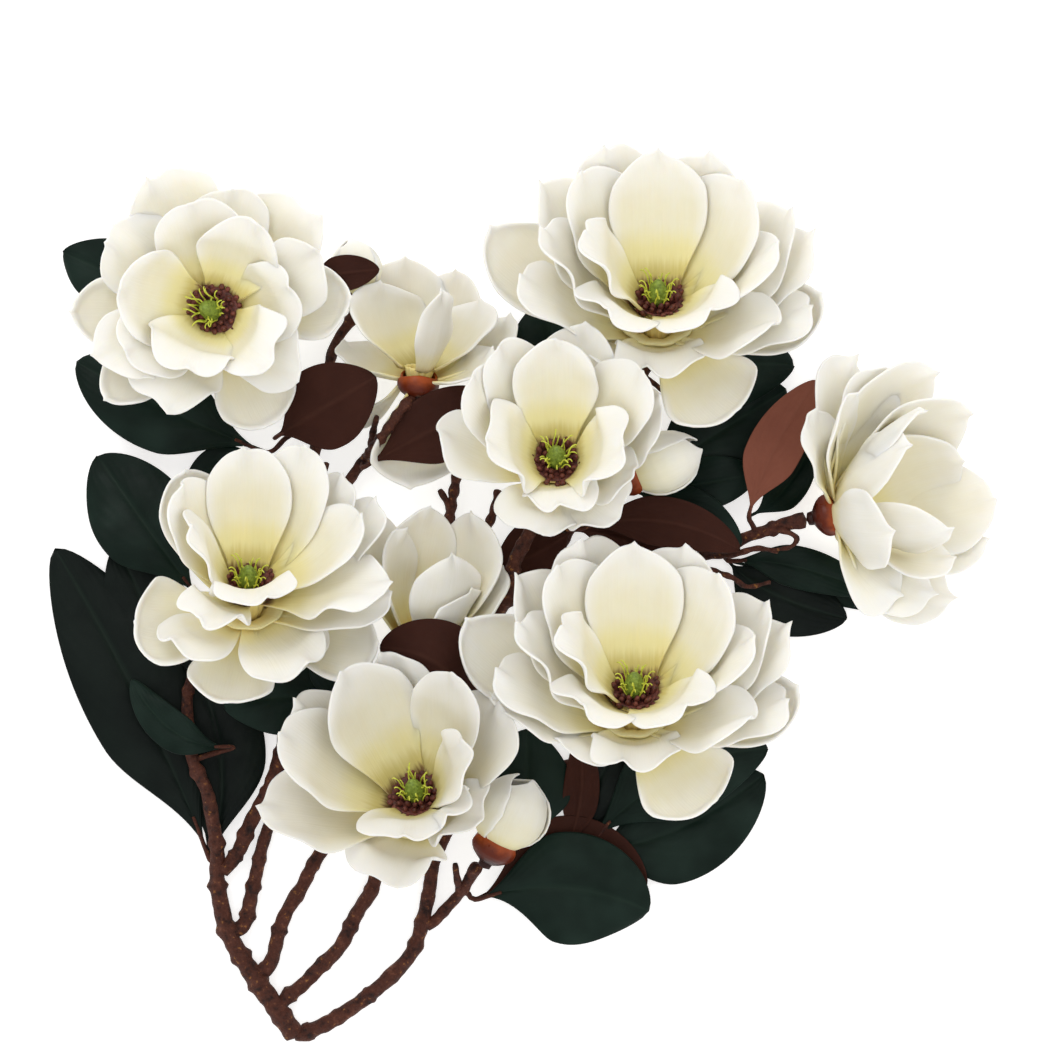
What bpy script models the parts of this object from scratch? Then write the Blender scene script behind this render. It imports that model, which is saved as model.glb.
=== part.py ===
"""A magnolia branch lying on its back: nine blooms, three buds, leaves and forked stems.

Metres, +Z up. The branch is laid out in plan (X to the right, Y towards the top of the branch)
with the surface it lies on at Z = 0. Everything is then moved so that the middle of the
bounding box's underside is the origin.
"""

import math

import bpy
from mathutils import Matrix, Vector

# ---------------------------------------------------------------- sizes
PETAL_THICK = 0.0012
LEAF_THICK = 0.0012
PETAL_RING = 0.0155          # radius where a petal layer leaves its flat floor
PETAL_BULGE = 0.10           # belly of a petal, as a share of its length
CENTRE_GAP = 0.0016          # the centre stands this far above the inner layer's start
LOBE_STEPS = (0.0, 0.2, 0.5, 0.8)   # where the rim is drawn between two neighbouring petals
STEM_SIDES = 2               # bevel resolution: 8 sides
MAIN_STEM = 0.0075           # radius of the cut main stem

# ---------------------------------------------------------------- materials
# name: (base colour, roughness)
MATERIALS = {
    "petal_white": ((0.86, 0.83, 0.74), 0.55),
    "bloom_centre": ((0.20, 0.09, 0.05), 0.60),
    "calyx_brown": ((0.36, 0.10, 0.04), 0.40),
    "leaf_green": ((0.04, 0.08, 0.06), 0.42),
    "leaf_brown": ((0.15, 0.06, 0.04), 0.60),
    "bark": ((0.13, 0.05, 0.03), 0.75),
}

# ---------------------------------------------------------------- blooms
# base: where the bloom sits on its stem. axis: the way its mouth faces.
# rise: how far along the axis the inner layer starts.
# inner, outer: the petal tips of each layer. A petal row is (x, y, z) in world metres.
BLOOMS = {
    1: {
        "base": (-0.201, 0.138, 0.038),
        "axis": (-0.04, 0.02, 1.0),
        "rise": 0.010,
        "inner": [
            (-0.213, 0.202, 0.091), (-0.178, 0.193, 0.098), (-0.257, 0.156, 0.099),
            (-0.250, 0.112, 0.090), (-0.222, 0.101, 0.093), (-0.165, 0.106, 0.089),
            (-0.156, 0.145, 0.090),
        ],
        "outer": [
            (-0.236, 0.228, 0.066), (-0.264, 0.190, 0.066), (-0.296, 0.140, 0.060),
            (-0.275, 0.080, 0.058), (-0.225, 0.084, 0.054), (-0.163, 0.062, 0.056),
            (-0.111, 0.145, 0.058), (-0.140, 0.206, 0.064),
        ],
    },
    2: {
        "base": (-0.180, -0.062, 0.034),
        "axis": (0.02, 0.66, 0.75),
        "rise": 0.030,
        "inner": [
            (-0.180, 0.047, 0.083), (-0.143, 0.046, 0.084), (-0.107, 0.003, 0.096),
            (-0.093, -0.046, 0.100), (-0.160, -0.058, 0.114), (-0.204, -0.074, 0.108),
            (-0.216, 0.015, 0.108),
        ],
        "outer": [
            (-0.222, 0.036, 0.070), (-0.254, -0.062, 0.078), (-0.195, -0.119, 0.080),
            (-0.140, -0.095, 0.078), (-0.091, -0.078, 0.076), (-0.107, 0.025, 0.066),
        ],
    },
    3: {
        "base": (-0.068, 0.090, 0.032),
        "axis": (0.08, 0.97, 0.20),
        "rise": 0.010,
        "inner": [
            (-0.092, 0.158, 0.044), (-0.080, 0.168, 0.030), (-0.030, 0.164, 0.032),
            (-0.016, 0.139, 0.058), (-0.052, 0.148, 0.070),
        ],
        "outer": [
            (-0.118, 0.121, 0.036), (-0.060, 0.150, 0.022), (-0.020, 0.112, 0.042),
        ],
    },
    4: {
        "base": (0.021, 0.030, 0.044),
        "axis": (0.0, 0.45, 0.89),
        "rise": 0.020,
        "inner": [
            (0.020, 0.116, 0.107), (-0.012, 0.113, 0.101), (-0.029, 0.092, 0.102),
            (-0.018, 0.054, 0.112), (0.024, 0.012, 0.108), (0.062, 0.050, 0.112),
            (0.070, 0.096, 0.103),
        ],
        "outer": [
            (0.034, 0.124, 0.084), (-0.052, 0.062, 0.082), (0.004, -0.006, 0.080),
            (0.060, 0.012, 0.080), (0.087, 0.077, 0.084),
        ],
    },
    5: {
        "base": (0.087, 0.120, 0.034),
        "axis": (0.0, 0.70, 0.71),
        "rise": 0.032,
        "inner": [
            (0.087, 0.240, 0.086), (0.034, 0.226, 0.092), (0.042, 0.186, 0.112),
            (0.086, 0.128, 0.118), (0.132, 0.141, 0.116), (0.163, 0.178, 0.106),
            (0.140, 0.220, 0.095),
        ],
        "outer": [
            (0.115, 0.236, 0.060), (0.014, 0.222, 0.060), (-0.022, 0.192, 0.066),
            (0.003, 0.158, 0.074), (0.050, 0.114, 0.060), (0.084, 0.098, 0.078),
            (0.137, 0.065, 0.082), (0.195, 0.145, 0.072), (0.180, 0.186, 0.066),
        ],
    },
    6: {
        "base": (0.199, 0.006, 0.036),
        "axis": (0.96, 0.20, 0.20),
        "rise": 0.010,
        "inner": [
            (0.262, 0.092, 0.050), (0.292, 0.062, 0.040), (0.303, 0.015, 0.022),
            (0.300, -0.014, 0.032), (0.276, -0.028, 0.056), (0.270, 0.010, 0.086),
            (0.248, 0.052, 0.086),
        ],
        "outer": [
            (0.213, 0.105, 0.040), (0.188, 0.066, 0.056), (0.243, -0.047, 0.056),
            (0.277, -0.050, 0.036), (0.238, -0.006, 0.090), (0.272, 0.030, 0.010),
        ],
    },
    7: {
        "base": (-0.068, -0.080, 0.024),
        "axis": (0.15, 0.95, 0.25),
        "rise": 0.000,
        "inner": [
            (-0.098, -0.012, 0.045), (-0.076, 0.003, 0.026), (-0.036, 0.002, 0.028),
            (-0.014, -0.036, 0.044), (-0.038, -0.040, 0.066), (-0.062, -0.024, 0.066),
        ],
        "outer": [],
    },
    9: {
        "base": (-0.066, -0.192, 0.042),
        "axis": (-0.15, 0.55, 0.82),
        "rise": 0.024,
        "inner": [
            (-0.112, -0.095, 0.098), (-0.052, -0.101, 0.106), (-0.038, -0.144, 0.115),
            (-0.046, -0.184, 0.112), (-0.094, -0.203, 0.112), (-0.151, -0.132, 0.104),
        ],
        "outer": [
            (-0.092, -0.087, 0.078), (-0.148, -0.117, 0.076), (-0.165, -0.181, 0.074),
            (-0.092, -0.226, 0.078), (-0.026, -0.188, 0.076), (-0.017, -0.116, 0.082),
        ],
    },
}

# Bloom 8 repeats bloom 5, lower and a little higher off the surface.
BLOOM_8_SHIFT = (-0.0155, -0.2545, 0.006)

# Bloom axes whose calyx shows: radius and length of the calyx behind the base.
CALYXES = {3: (0.0115, 0.017), 6: (0.0115, 0.017)}

# ---------------------------------------------------------------- buds
# base, tip, radius
BUDS = {
    1: ((-0.108, 0.150, 0.020), (-0.113, 0.187, 0.021), 0.0175),
    2: ((0.068, 0.031, 0.042), (0.116, 0.050, 0.044), 0.0200),
    3: ((-0.020, -0.211, 0.040), (0.004, -0.165, 0.048), 0.0240),
}

# ---------------------------------------------------------------- leaves
# Each node is a list of leaves that share a stalk.
# A leaf: base, middle, tip, widest width, material of the side that shows.
LEAVES = {
    "leaf_bloom_1_left": [
        ((-0.246, 0.150, 0.020), (-0.272, 0.164, 0.018), (-0.300, 0.178, 0.003), 0.040, "leaf_green"),
    ],
    "leaf_pair_under_bloom_1": [
        ((-0.168, 0.047, 0.020), (-0.236, 0.076, 0.022), (-0.292, 0.106, 0.004), 0.058, "leaf_green"),
        ((-0.168, 0.047, 0.020), (-0.196, 0.034, 0.014), (-0.222, 0.012, 0.005), 0.036, "leaf_green"),
    ],
    "leaf_brown_left": [
        ((-0.163, 0.056, 0.030), (-0.133, 0.074, 0.044), (-0.096, 0.095, 0.056), 0.050, "leaf_brown"),
    ],
    "leaf_bloom_2_upper": [
        ((-0.212, -0.050, 0.018), (-0.248, 0.000, 0.024), (-0.278, 0.043, 0.006), 0.062, "leaf_green"),
    ],
    "leaf_pair_left": [
        ((-0.213, -0.207, 0.004), (-0.256, -0.100, 0.010), (-0.306, -0.018, 0.003), 0.076, "leaf_green"),
        ((-0.213, -0.207, 0.004), (-0.203, -0.150, 0.009), (-0.226, -0.086, 0.007), 0.056, "leaf_green"),
    ],
    "leaf_curled_left": [
        ((-0.183, -0.143, 0.022), (-0.226, -0.136, 0.033), (-0.256, -0.102, 0.022), 0.020, "leaf_green"),
    ],
    "leaf_pair_bloom_9_upper": [
        ((-0.128, -0.112, 0.022), (-0.160, -0.115, 0.027), (-0.194, -0.122, 0.025), 0.036, "leaf_green"),
        ((-0.128, -0.112, 0.022), (-0.122, -0.094, 0.030), (-0.092, -0.084, 0.034), 0.024, "leaf_green"),
    ],
    "leaf_bud_1": [
        ((-0.143, 0.158, 0.038), (-0.120, 0.163, 0.044), (-0.096, 0.165, 0.044), 0.022, "leaf_brown"),
    ],
    "leaf_brown_middle": [
        ((-0.100, 0.044, 0.024), (-0.066, 0.068, 0.053), (-0.022, 0.083, 0.034), 0.036, "leaf_brown"),
    ],
    "leaf_bloom_4_back": [
        ((0.016, 0.098, 0.012), (0.018, 0.122, 0.018), (0.012, 0.146, 0.018), 0.046, "leaf_green"),
    ],
    "leaf_bloom_5_right": [
        ((0.094, 0.086, 0.018), (0.136, 0.102, 0.020), (0.176, 0.106, 0.004), 0.046, "leaf_green"),
    ],
    "leaf_group_right": [
        ((0.070, 0.022, 0.012), (0.124, 0.058, 0.010), (0.171, 0.088, 0.003), 0.054, "leaf_green"),
        ((0.070, 0.022, 0.012), (0.112, 0.026, 0.015), (0.153, 0.034, 0.011), 0.032, "leaf_green"),
        ((0.070, 0.022, 0.012), (0.106, 0.008, 0.025), (0.141, -0.015, 0.029), 0.030, "leaf_green"),
    ],
    "leaf_pair_far_right": [
        ((0.147, 0.005, 0.026), (0.162, 0.046, 0.034), (0.191, 0.092, 0.022), 0.034, "leaf_brown"),
        ((0.147, 0.005, 0.026), (0.171, 0.023, 0.018), (0.187, 0.052, 0.006), 0.024, "leaf_green"),
    ],
    "leaf_group_middle": [
        ((0.032, -0.004, 0.034), (0.088, 0.002, 0.040), (0.140, -0.017, 0.038), 0.030, "leaf_brown"),
        ((0.032, -0.004, 0.034), (0.010, -0.018, 0.020), (-0.017, -0.030, 0.010), 0.042, "leaf_brown"),
        ((0.032, -0.004, 0.034), (0.072, -0.020, 0.022), (0.114, -0.037, 0.012), 0.024, "leaf_brown"),
    ],
    "leaf_group_lower_right": [
        ((0.134, -0.024, 0.008), (0.178, -0.028, 0.016), (0.228, -0.045, 0.012), 0.026, "leaf_green"),
        ((0.134, -0.024, 0.008), (0.162, -0.045, 0.008), (0.212, -0.060, 0.004), 0.046, "leaf_green"),
        ((0.134, -0.024, 0.008), (0.200, -0.040, 0.005), (0.266, -0.055, 0.003), 0.022, "leaf_green"),
    ],
    "leaf_brown_bloom_7": [
        ((-0.038, -0.120, 0.022), (-0.053, -0.081, 0.0585), (-0.092, -0.071, 0.052), 0.035, "leaf_brown"),
        ((-0.038, -0.120, 0.022), (-0.024, -0.106, 0.022), (-0.008, -0.099, 0.016), 0.014, "leaf_brown"),
    ],
    "leaf_bud_3": [
        ((0.002, -0.214, 0.009), (0.002, -0.176, 0.013), (0.002, -0.136, 0.012), 0.056, "leaf_green"),
    ],
    "leaf_pair_bloom_8": [
        ((0.040, -0.212, 0.006), (0.098, -0.160, 0.022), (0.160, -0.148, 0.010), 0.050, "leaf_green"),
        ((0.040, -0.212, 0.006), (0.096, -0.202, 0.007), (0.155, -0.165, 0.003), 0.060, "leaf_green"),
    ],
    "leaf_bottom": [
        ((-0.032, -0.246, 0.012), (0.024, -0.240, 0.023), (0.082, -0.252, 0.010), 0.070, "leaf_green"),
    ],
}

# ---------------------------------------------------------------- stems
# Each stem: (x, y, z, radius) along its centre line.
STEMS = {
    "stem_main": [
        (-0.150, -0.335, 0.0080, MAIN_STEM), (-0.167, -0.311, 0.0078, 0.0073),
        (-0.188, -0.280, 0.0072, 0.0066), (-0.199, -0.248, 0.0066, 0.0060),
        (-0.201, -0.216, 0.0070, 0.0050), (-0.206, -0.180, 0.0200, 0.0042),
        (-0.217, -0.150, 0.0220, 0.0038), (-0.220, -0.110, 0.0210, 0.0036),
        (-0.204, -0.080, 0.0220, 0.0034), (-0.186, -0.068, 0.0270, 0.0034),
    ],
    "stem_right_arm": [
        (-0.1912, -0.2190, 0.0060, 0.0046), (-0.173, -0.186, 0.0130, 0.0048),
        (-0.161, -0.162, 0.0150, 0.0056), (-0.157, -0.132, 0.0080, 0.0050),
        (-0.150, -0.090, 0.0060, 0.0044), (-0.140, -0.020, 0.0060, 0.0040),
        (-0.138, 0.045, 0.0060, 0.0036), (-0.126, 0.108, 0.0080, 0.0034),
        (-0.110, 0.140, 0.0160, 0.0036),
    ],
    "stem_bloom_1": [
        (-0.1425, 0.062, 0.0060, 0.0034), (-0.160, 0.084, 0.0060, 0.0034),
        (-0.184, 0.114, 0.0080, 0.0034), (-0.199, 0.134, 0.0280, 0.0034),
    ],
    "stem_bloom_3": [
        (-0.1305, 0.010, 0.0060, 0.0032), (-0.117, 0.026, 0.0100, 0.0034),
        (-0.102, 0.044, 0.0130, 0.0036), (-0.083, 0.056, 0.0220, 0.0036),
        (-0.0710, 0.0655, 0.0265, 0.0034), (-0.0696, 0.0729, 0.0283, 0.0034),
    ],
    "stem_bloom_7": [
        (-0.1826, -0.261, 0.0060, 0.0048), (-0.177, -0.236, 0.0060, 0.0046),
        (-0.170, -0.208, 0.0048, 0.0040), (-0.163, -0.186, 0.0040, 0.0036),
        (-0.146, -0.164, 0.0040, 0.0036), (-0.086, -0.118, 0.0060, 0.0034),
        (-0.074, -0.096, 0.0160, 0.0034),
    ],
    "stem_bloom_4": [
        (-0.1664, -0.2885, 0.0060, 0.0048), (-0.160, -0.266, 0.0060, 0.0048),
        (-0.149, -0.242, 0.0060, 0.0046), (-0.126, -0.204, 0.0060, 0.0044),
        (-0.090, -0.150, 0.0060, 0.0042), (-0.046, -0.092, 0.0060, 0.0042),
        (-0.012, -0.050, 0.0240, 0.0052), (-0.004, -0.020, 0.0320, 0.0046),
        (0.016, 0.020, 0.0350, 0.0040),
    ],
    "stem_bloom_9": [
        (-0.1530, -0.3085, 0.0060, 0.0048), (-0.124, -0.280, 0.0060, 0.0048),
        (-0.102, -0.244, 0.0060, 0.0048), (-0.090, -0.214, 0.0120, 0.0042),
        (-0.070, -0.198, 0.0340, 0.0036),
    ],
    "stem_bloom_8": [
        (-0.1405, -0.332, 0.0065, 0.0052), (-0.104, -0.312, 0.0062, 0.0050),
        (-0.074, -0.280, 0.0060, 0.0048), (-0.062, -0.242, 0.0060, 0.0046),
        (-0.054, -0.208, 0.0060, 0.0042), (-0.030, -0.180, 0.0060, 0.0040),
        (0.030, -0.158, 0.0060, 0.0040), (0.056, -0.148, 0.0180, 0.0036),
        (0.070, -0.140, 0.0320, 0.0034),
    ],
    "stem_bloom_5": [
        (0.026, -0.010, 0.0060, 0.0040), (0.044, 0.030, 0.0060, 0.0040),
        (0.066, 0.076, 0.0060, 0.0044), (0.080, 0.104, 0.0120, 0.0040),
        (0.086, 0.116, 0.0240, 0.0036),
    ],
    "stem_bloom_6": [
        (0.060, -0.034, 0.0050, 0.0036), (0.096, -0.028, 0.0055, 0.0036),
        (0.122, -0.018, 0.0100, 0.0036), (0.148, -0.009, 0.0180, 0.0036),
        (0.168, -0.001, 0.0280, 0.0042), (0.1745, 0.0008, 0.0307, 0.0046),
        (0.1819, 0.0024, 0.0324, 0.0046),
    ],
    "stem_bud_3": [
        (-0.0572, -0.259, 0.0060, 0.0036), (-0.049, -0.250, 0.0080, 0.0036),
        (-0.038, -0.236, 0.0160, 0.0036), (-0.031, -0.224, 0.0290, 0.0036),
    ],
}


def clear_scene():
    for obj in list(bpy.data.objects):
        bpy.data.objects.remove(obj, do_unlink=True)


def make_collection(name):
    collection = bpy.data.collections.new(name)
    bpy.context.scene.collection.children.link(collection)
    return collection


def make_materials():
    made = {}
    for name, (colour, roughness) in MATERIALS.items():
        material = bpy.data.materials.new(name)
        material.use_nodes = True
        shader = material.node_tree.nodes["Principled BSDF"]
        shader.inputs["Base Color"].default_value = (*colour, 1.0)
        shader.inputs["Roughness"].default_value = roughness
        shader.inputs["Metallic"].default_value = 0.0
        material.diffuse_color = (*colour, 1.0)
        made[name] = material
    return made


def add_mesh(name, points, faces, material, collection):
    mesh = bpy.data.meshes.new(name)
    mesh.from_pydata([tuple(p) for p in points], [], faces)
    mesh.validate()
    mesh.shade_smooth()
    mesh.set_sharp_from_angle(angle=math.radians(50))
    mesh.materials.append(material)
    obj = bpy.data.objects.new(name, mesh)
    collection.objects.link(obj)
    return obj


def add_thickness(obj, thickness):
    shell = obj.modifiers.new("thickness", "SOLIDIFY")
    shell.thickness = thickness
    shell.offset = 0.0
    shell.use_even_offset = False
    return shell


def smoothstep(t):
    return t * t * (3.0 - 2.0 * t)


def bloom_frame(axis):
    """Unit axis, and two directions across it: side (level) and up."""
    along = Vector(axis).normalized()
    side = Vector((0.0, 1.0, 0.0)).cross(along)
    if side.length < 0.3:
        side = Vector((1.0, 0.0, 0.0))
    side = (side - along * side.dot(along)).normalized()
    return along, side, along.cross(side)


def petal_angles(tips, start, axis):
    """Each petal as (angle round the axis, opening angle from the axis, length)."""
    along, side, up = bloom_frame(axis)
    rows = []
    for tip in tips:
        reach = Vector(tip) - start
        rim = reach - along * reach.dot(along)
        out = rim.normalized() * PETAL_RING
        chord = reach - out
        turn = math.atan2(rim.dot(up), rim.dot(side)) % math.tau
        opening = math.atan2((chord - along * chord.dot(along)).length, chord.dot(along))
        rows.append((turn, opening, chord.length))
    return sorted(rows)


def layer_profile(rows, steps):
    """Opening angle and length all round the axis, dipping between neighbouring petals."""
    samples = []
    for i, (turn, opening, length) in enumerate(rows):
        after = rows[(i + 1) % len(rows)]
        gap = (after[0] - turn) % math.tau
        notch = min(0.70, max(0.10, 0.26 * gap / math.radians(60)))
        for t in steps:
            blend = smoothstep(t)
            dip = 1.0 - notch * math.sin(math.pi * t) ** 3
            samples.append((
                turn + gap * t,
                opening + (after[1] - opening) * blend,
                (length + (after[2] - length) * blend) * dip,
            ))
    return samples


def opening_at(samples, turn):
    """The opening angle of a layer's profile at one angle round the axis."""
    turn %= math.tau
    ring = sorted((s[0] % math.tau, s[1]) for s in samples)
    ring = [(ring[-1][0] - math.tau, ring[-1][1])] + ring + [(ring[0][0] + math.tau, ring[0][1])]
    for (a, first), (b, second) in zip(ring, ring[1:]):
        if a <= turn <= b:
            return first + (second - first) * (turn - a) / max(b - a, 1e-9)
    return ring[0][1]


def petal_layer(name, start, axis, samples, bands, material, collection):
    """A lobed bowl: a flat floor, then a petal belly out to the lobed rim, given thickness."""
    along, side, up = bloom_frame(axis)
    points = [start.copy()]
    for turn, opening, length in samples:
        out = side * math.cos(turn) + up * math.sin(turn)
        ray = along * math.cos(opening) + out * math.sin(opening)
        belly = out * math.cos(opening) - along * math.sin(opening)
        foot = start + out * PETAL_RING
        for k in range(bands + 1):
            u = k / bands
            lift = 4.0 * u * (1.0 - u) * PETAL_BULGE * length
            points.append(foot + ray * (length * u) + belly * lift)
    count = len(samples)
    row = bands + 1
    faces = []
    for i in range(count):
        a = 1 + i * row
        b = 1 + ((i + 1) % count) * row
        faces.append((0, a, b))
        for k in range(bands):
            faces.append((a + k, a + k + 1, b + k + 1, b + k))
    obj = add_mesh(name, points, faces, material, collection)
    add_thickness(obj, PETAL_THICK)
    return obj


def open_wider(samples, inner, margin):
    """Keeps an outer layer outside the inner one all round."""
    return [
        (turn, max(opening, opening_at(inner, turn) + margin), length)
        for turn, opening, length in samples
    ]


def turned(name, profile, steps, place, material, collection):
    """A turned solid from (radius, height) pairs, top to bottom, placed by a matrix."""
    mesh = bpy.data.meshes.new(name)
    mesh.from_pydata([(r, 0.0, h) for r, h in profile], [(i, i + 1) for i in range(len(profile) - 1)], [])
    obj = bpy.data.objects.new(name, mesh)
    collection.objects.link(obj)
    obj.matrix_world = place
    screw = obj.modifiers.new("turn", "SCREW")
    screw.steps = steps
    screw.render_steps = steps
    screw.use_merge_vertices = True
    screw.merge_threshold = 0.00002
    screw.use_smooth_shade = True
    mesh.materials.append(material)
    return obj


def placed(point, axis):
    """A matrix that puts +Z along axis, with its origin at point."""
    turn = Vector((0.0, 0.0, 1.0)).rotation_difference(Vector(axis)).to_matrix().to_4x4()
    return Matrix.Translation(Vector(point)) @ turn


def make_bloom(number, row, materials, collection):
    base = Vector(row["base"])
    along = Vector(row["axis"]).normalized()
    start = base + along * row["rise"]
    inner = layer_profile(petal_angles(row["inner"], start, along), LOBE_STEPS)
    label = f"bloom_{number}"
    inner_name = f"{label}_inner_petals" if row["outer"] else f"{label}_petals"
    petal_layer(inner_name, start, along, inner, 4, materials["petal_white"], collection)
    if row["outer"]:
        outer = layer_profile(petal_angles(row["outer"], base, along), LOBE_STEPS)
        outer = open_wider(outer, inner, math.radians(14))
        petal_layer(f"{label}_outer_petals", base, along, outer, 4, materials["petal_white"], collection)
    if number in CALYXES:
        radius, length = CALYXES[number]
        profile = [
            (0.0, -0.0011), (radius, -0.0011), (radius * 1.05, -length * 0.35),
            (radius * 0.75, -length * 0.75), (0.0048, -length), (0.0, -length),
        ]
        turned(f"{label}_calyx", profile, 12, placed(base, along), materials["calyx_brown"], collection)
    elif row["outer"]:
        profile = [
            (0.0, 0.0235), (0.0045, 0.0215), (0.0080, 0.0120), (0.0095, 0.0075),
            (0.0130, 0.0060), (0.0130, 0.0), (0.0, 0.0),
        ]
        place = placed(start + along * CENTRE_GAP, along)
        turned(f"{label}_centre", profile, 14, place, materials["bloom_centre"], collection)


def make_bud(number, row, materials, collection):
    base = Vector(row[0])
    reach = Vector(row[1]) - base
    length = reach.length
    radius = row[2]
    shape = (
        (0.0, 1.0), (0.30, 0.95), (0.66, 0.80), (0.92, 0.60), (1.0, 0.42),
        (0.90, 0.20), (0.62, 0.06), (0.0, 0.0),
    )
    profile = [(radius * r, length * h) for r, h in shape]
    turned(f"bud_{number}_petals", profile, 14, placed(base, reach), materials["petal_white"], collection)
    if number == 1:
        return
    cup = [
        (0.0, -0.0006), (0.60 * radius, -0.0006), (0.66 * radius, -0.0030),
        (0.40 * radius, -0.0090), (0.0045, -0.0130), (0.0, -0.0130),
    ]
    turned(f"bud_{number}_calyx", cup, 12, placed(base, reach), materials["calyx_brown"], collection)


def bezier(a, b, c, t):
    """A curve through a and c that passes through b half way."""
    pull = b * 2.0 - (a + c) * 0.5
    return a * (1 - t) ** 2 + pull * (2 * t * (1 - t)) + c * t ** 2


def leaf_width(t):
    """Share of the widest width along a leaf: a stalk, a belly past the middle, a short tip."""
    if t < 0.06:
        return 0.10
    return 0.10 + 0.90 * math.sin(math.pi * min(1.0, (t - 0.06) / 0.94) ** 0.85) ** 0.75


def leaf_blade(name, row, material, collection):
    base, middle, tip = (Vector(p) for p in row[:3])
    stations = (0.0, 0.08, 0.22, 0.40, 0.60, 0.80, 0.93, 1.0)
    points = []
    for t in stations:
        here = bezier(base, middle, tip, t)
        ahead = bezier(base, middle, tip, min(1.0, t + 0.02)) - bezier(base, middle, tip, max(0.0, t - 0.02))
        across = ahead.cross(Vector((0.0, 0.0, 1.0))).normalized()
        half = 0.5 * max(0.0030, row[3] * leaf_width(t)) if t < 1.0 else 0.0015
        fold = Vector((0.0, 0.0, 0.10 * half))
        points += [here - across * half + fold, here - fold, here + across * half + fold]
    faces = []
    for i in range(len(stations) - 1):
        for k in range(2):
            a = 3 * i + k
            faces.append((a, a + 1, a + 4, a + 3))
    obj = add_mesh(name, points, faces, material, collection)
    add_thickness(obj, LEAF_THICK)
    return obj


def make_leaf_node(name, rows, materials, collection, helpers):
    first = leaf_blade(name, rows[0], materials[rows[0][4]], collection)
    for i, row in enumerate(rows[1:], start=2):
        other = leaf_blade(f"{name}_blade_{i}", row, materials[row[4]], helpers)
        other.hide_render = True
        other.display_type = "WIRE"
        join = first.modifiers.new(f"join_{i}", "BOOLEAN")
        join.operation = "UNION"
        join.object = other


def through(rows, parts):
    """More points on a smooth curve (Catmull-Rom) that passes through every row."""
    ends = [rows[0]] + list(rows) + [rows[-1]]
    found = []
    for i in range(1, len(ends) - 2):
        for k in range(parts):
            t = k / parts
            found.append(tuple(
                0.5 * (2 * b + (c - a) * t + (2 * a - 5 * b + 4 * c - d) * t * t + (3 * b - a - 3 * c + d) * t ** 3)
                for a, b, c, d in zip(*ends[i - 1:i + 3])
            ))
    return found + [rows[-1]]


def make_stem(name, rows, material, collection):
    rows = through(rows, 2)
    curve = bpy.data.curves.new(name, "CURVE")
    curve.dimensions = "3D"
    curve.bevel_depth = 1.0
    curve.bevel_resolution = STEM_SIDES
    curve.use_fill_caps = True
    line = curve.splines.new("POLY")
    line.points.add(len(rows) - 1)
    for point, (x, y, z, radius) in zip(line.points, rows):
        point.co = (x, y, z, 1.0)
        point.radius = radius
    line.use_smooth = True
    curve.materials.append(material)
    obj = bpy.data.objects.new(name, curve)
    collection.objects.link(obj)
    return obj


def recentre(collection):
    """Parents every piece to an empty placed so that the box's underside centre is the origin."""
    bpy.context.view_layer.update()
    graph = bpy.context.evaluated_depsgraph_get()
    low = Vector((1e9, 1e9, 1e9))
    high = Vector((-1e9, -1e9, -1e9))
    for obj in collection.objects:
        evaluated = obj.evaluated_get(graph)
        mesh = evaluated.to_mesh()
        for vertex in mesh.vertices:
            point = evaluated.matrix_world @ vertex.co
            low = Vector(map(min, low, point))
            high = Vector(map(max, high, point))
        evaluated.to_mesh_clear()
    return Vector((-(low.x + high.x) / 2, -(low.y + high.y) / 2, -low.z))


def main():
    clear_scene()
    collection = make_collection("magnolia_branch")
    helpers = make_collection("joining_helpers")
    materials = make_materials()
    blooms = dict(BLOOMS)
    shift = Vector(BLOOM_8_SHIFT)
    blooms[8] = {
        "base": Vector(BLOOMS[5]["base"]) + shift,
        "axis": BLOOMS[5]["axis"],
        "rise": BLOOMS[5]["rise"],
        "inner": [Vector(tip) + shift for tip in BLOOMS[5]["inner"]],
        "outer": [Vector(tip) + shift for tip in BLOOMS[5]["outer"]],
    }
    for number, row in sorted(blooms.items()):
        make_bloom(number, row, materials, collection)
    for number, row in BUDS.items():
        make_bud(number, row, materials, collection)
    for name, rows in LEAVES.items():
        make_leaf_node(name, rows, materials, collection, helpers)
    for name, rows in STEMS.items():
        make_stem(name, rows, materials["bark"], collection)
    offset = recentre(collection)
    root = bpy.data.objects.new("branch_origin", None)
    collection.objects.link(root)
    root.location = offset
    for obj in list(collection.objects) + list(helpers.objects):
        if obj is not root:
            obj.parent = root
    bpy.context.view_layer.update()


main()
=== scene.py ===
"""Looks of the magnolia branch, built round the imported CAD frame.

The tables are in millimetres on the branch's plan: X to the right, Y towards the top of the
branch, Z up from the surface that it lies on. plan() moves such a point into the frame.
"""

import math
import random

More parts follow.
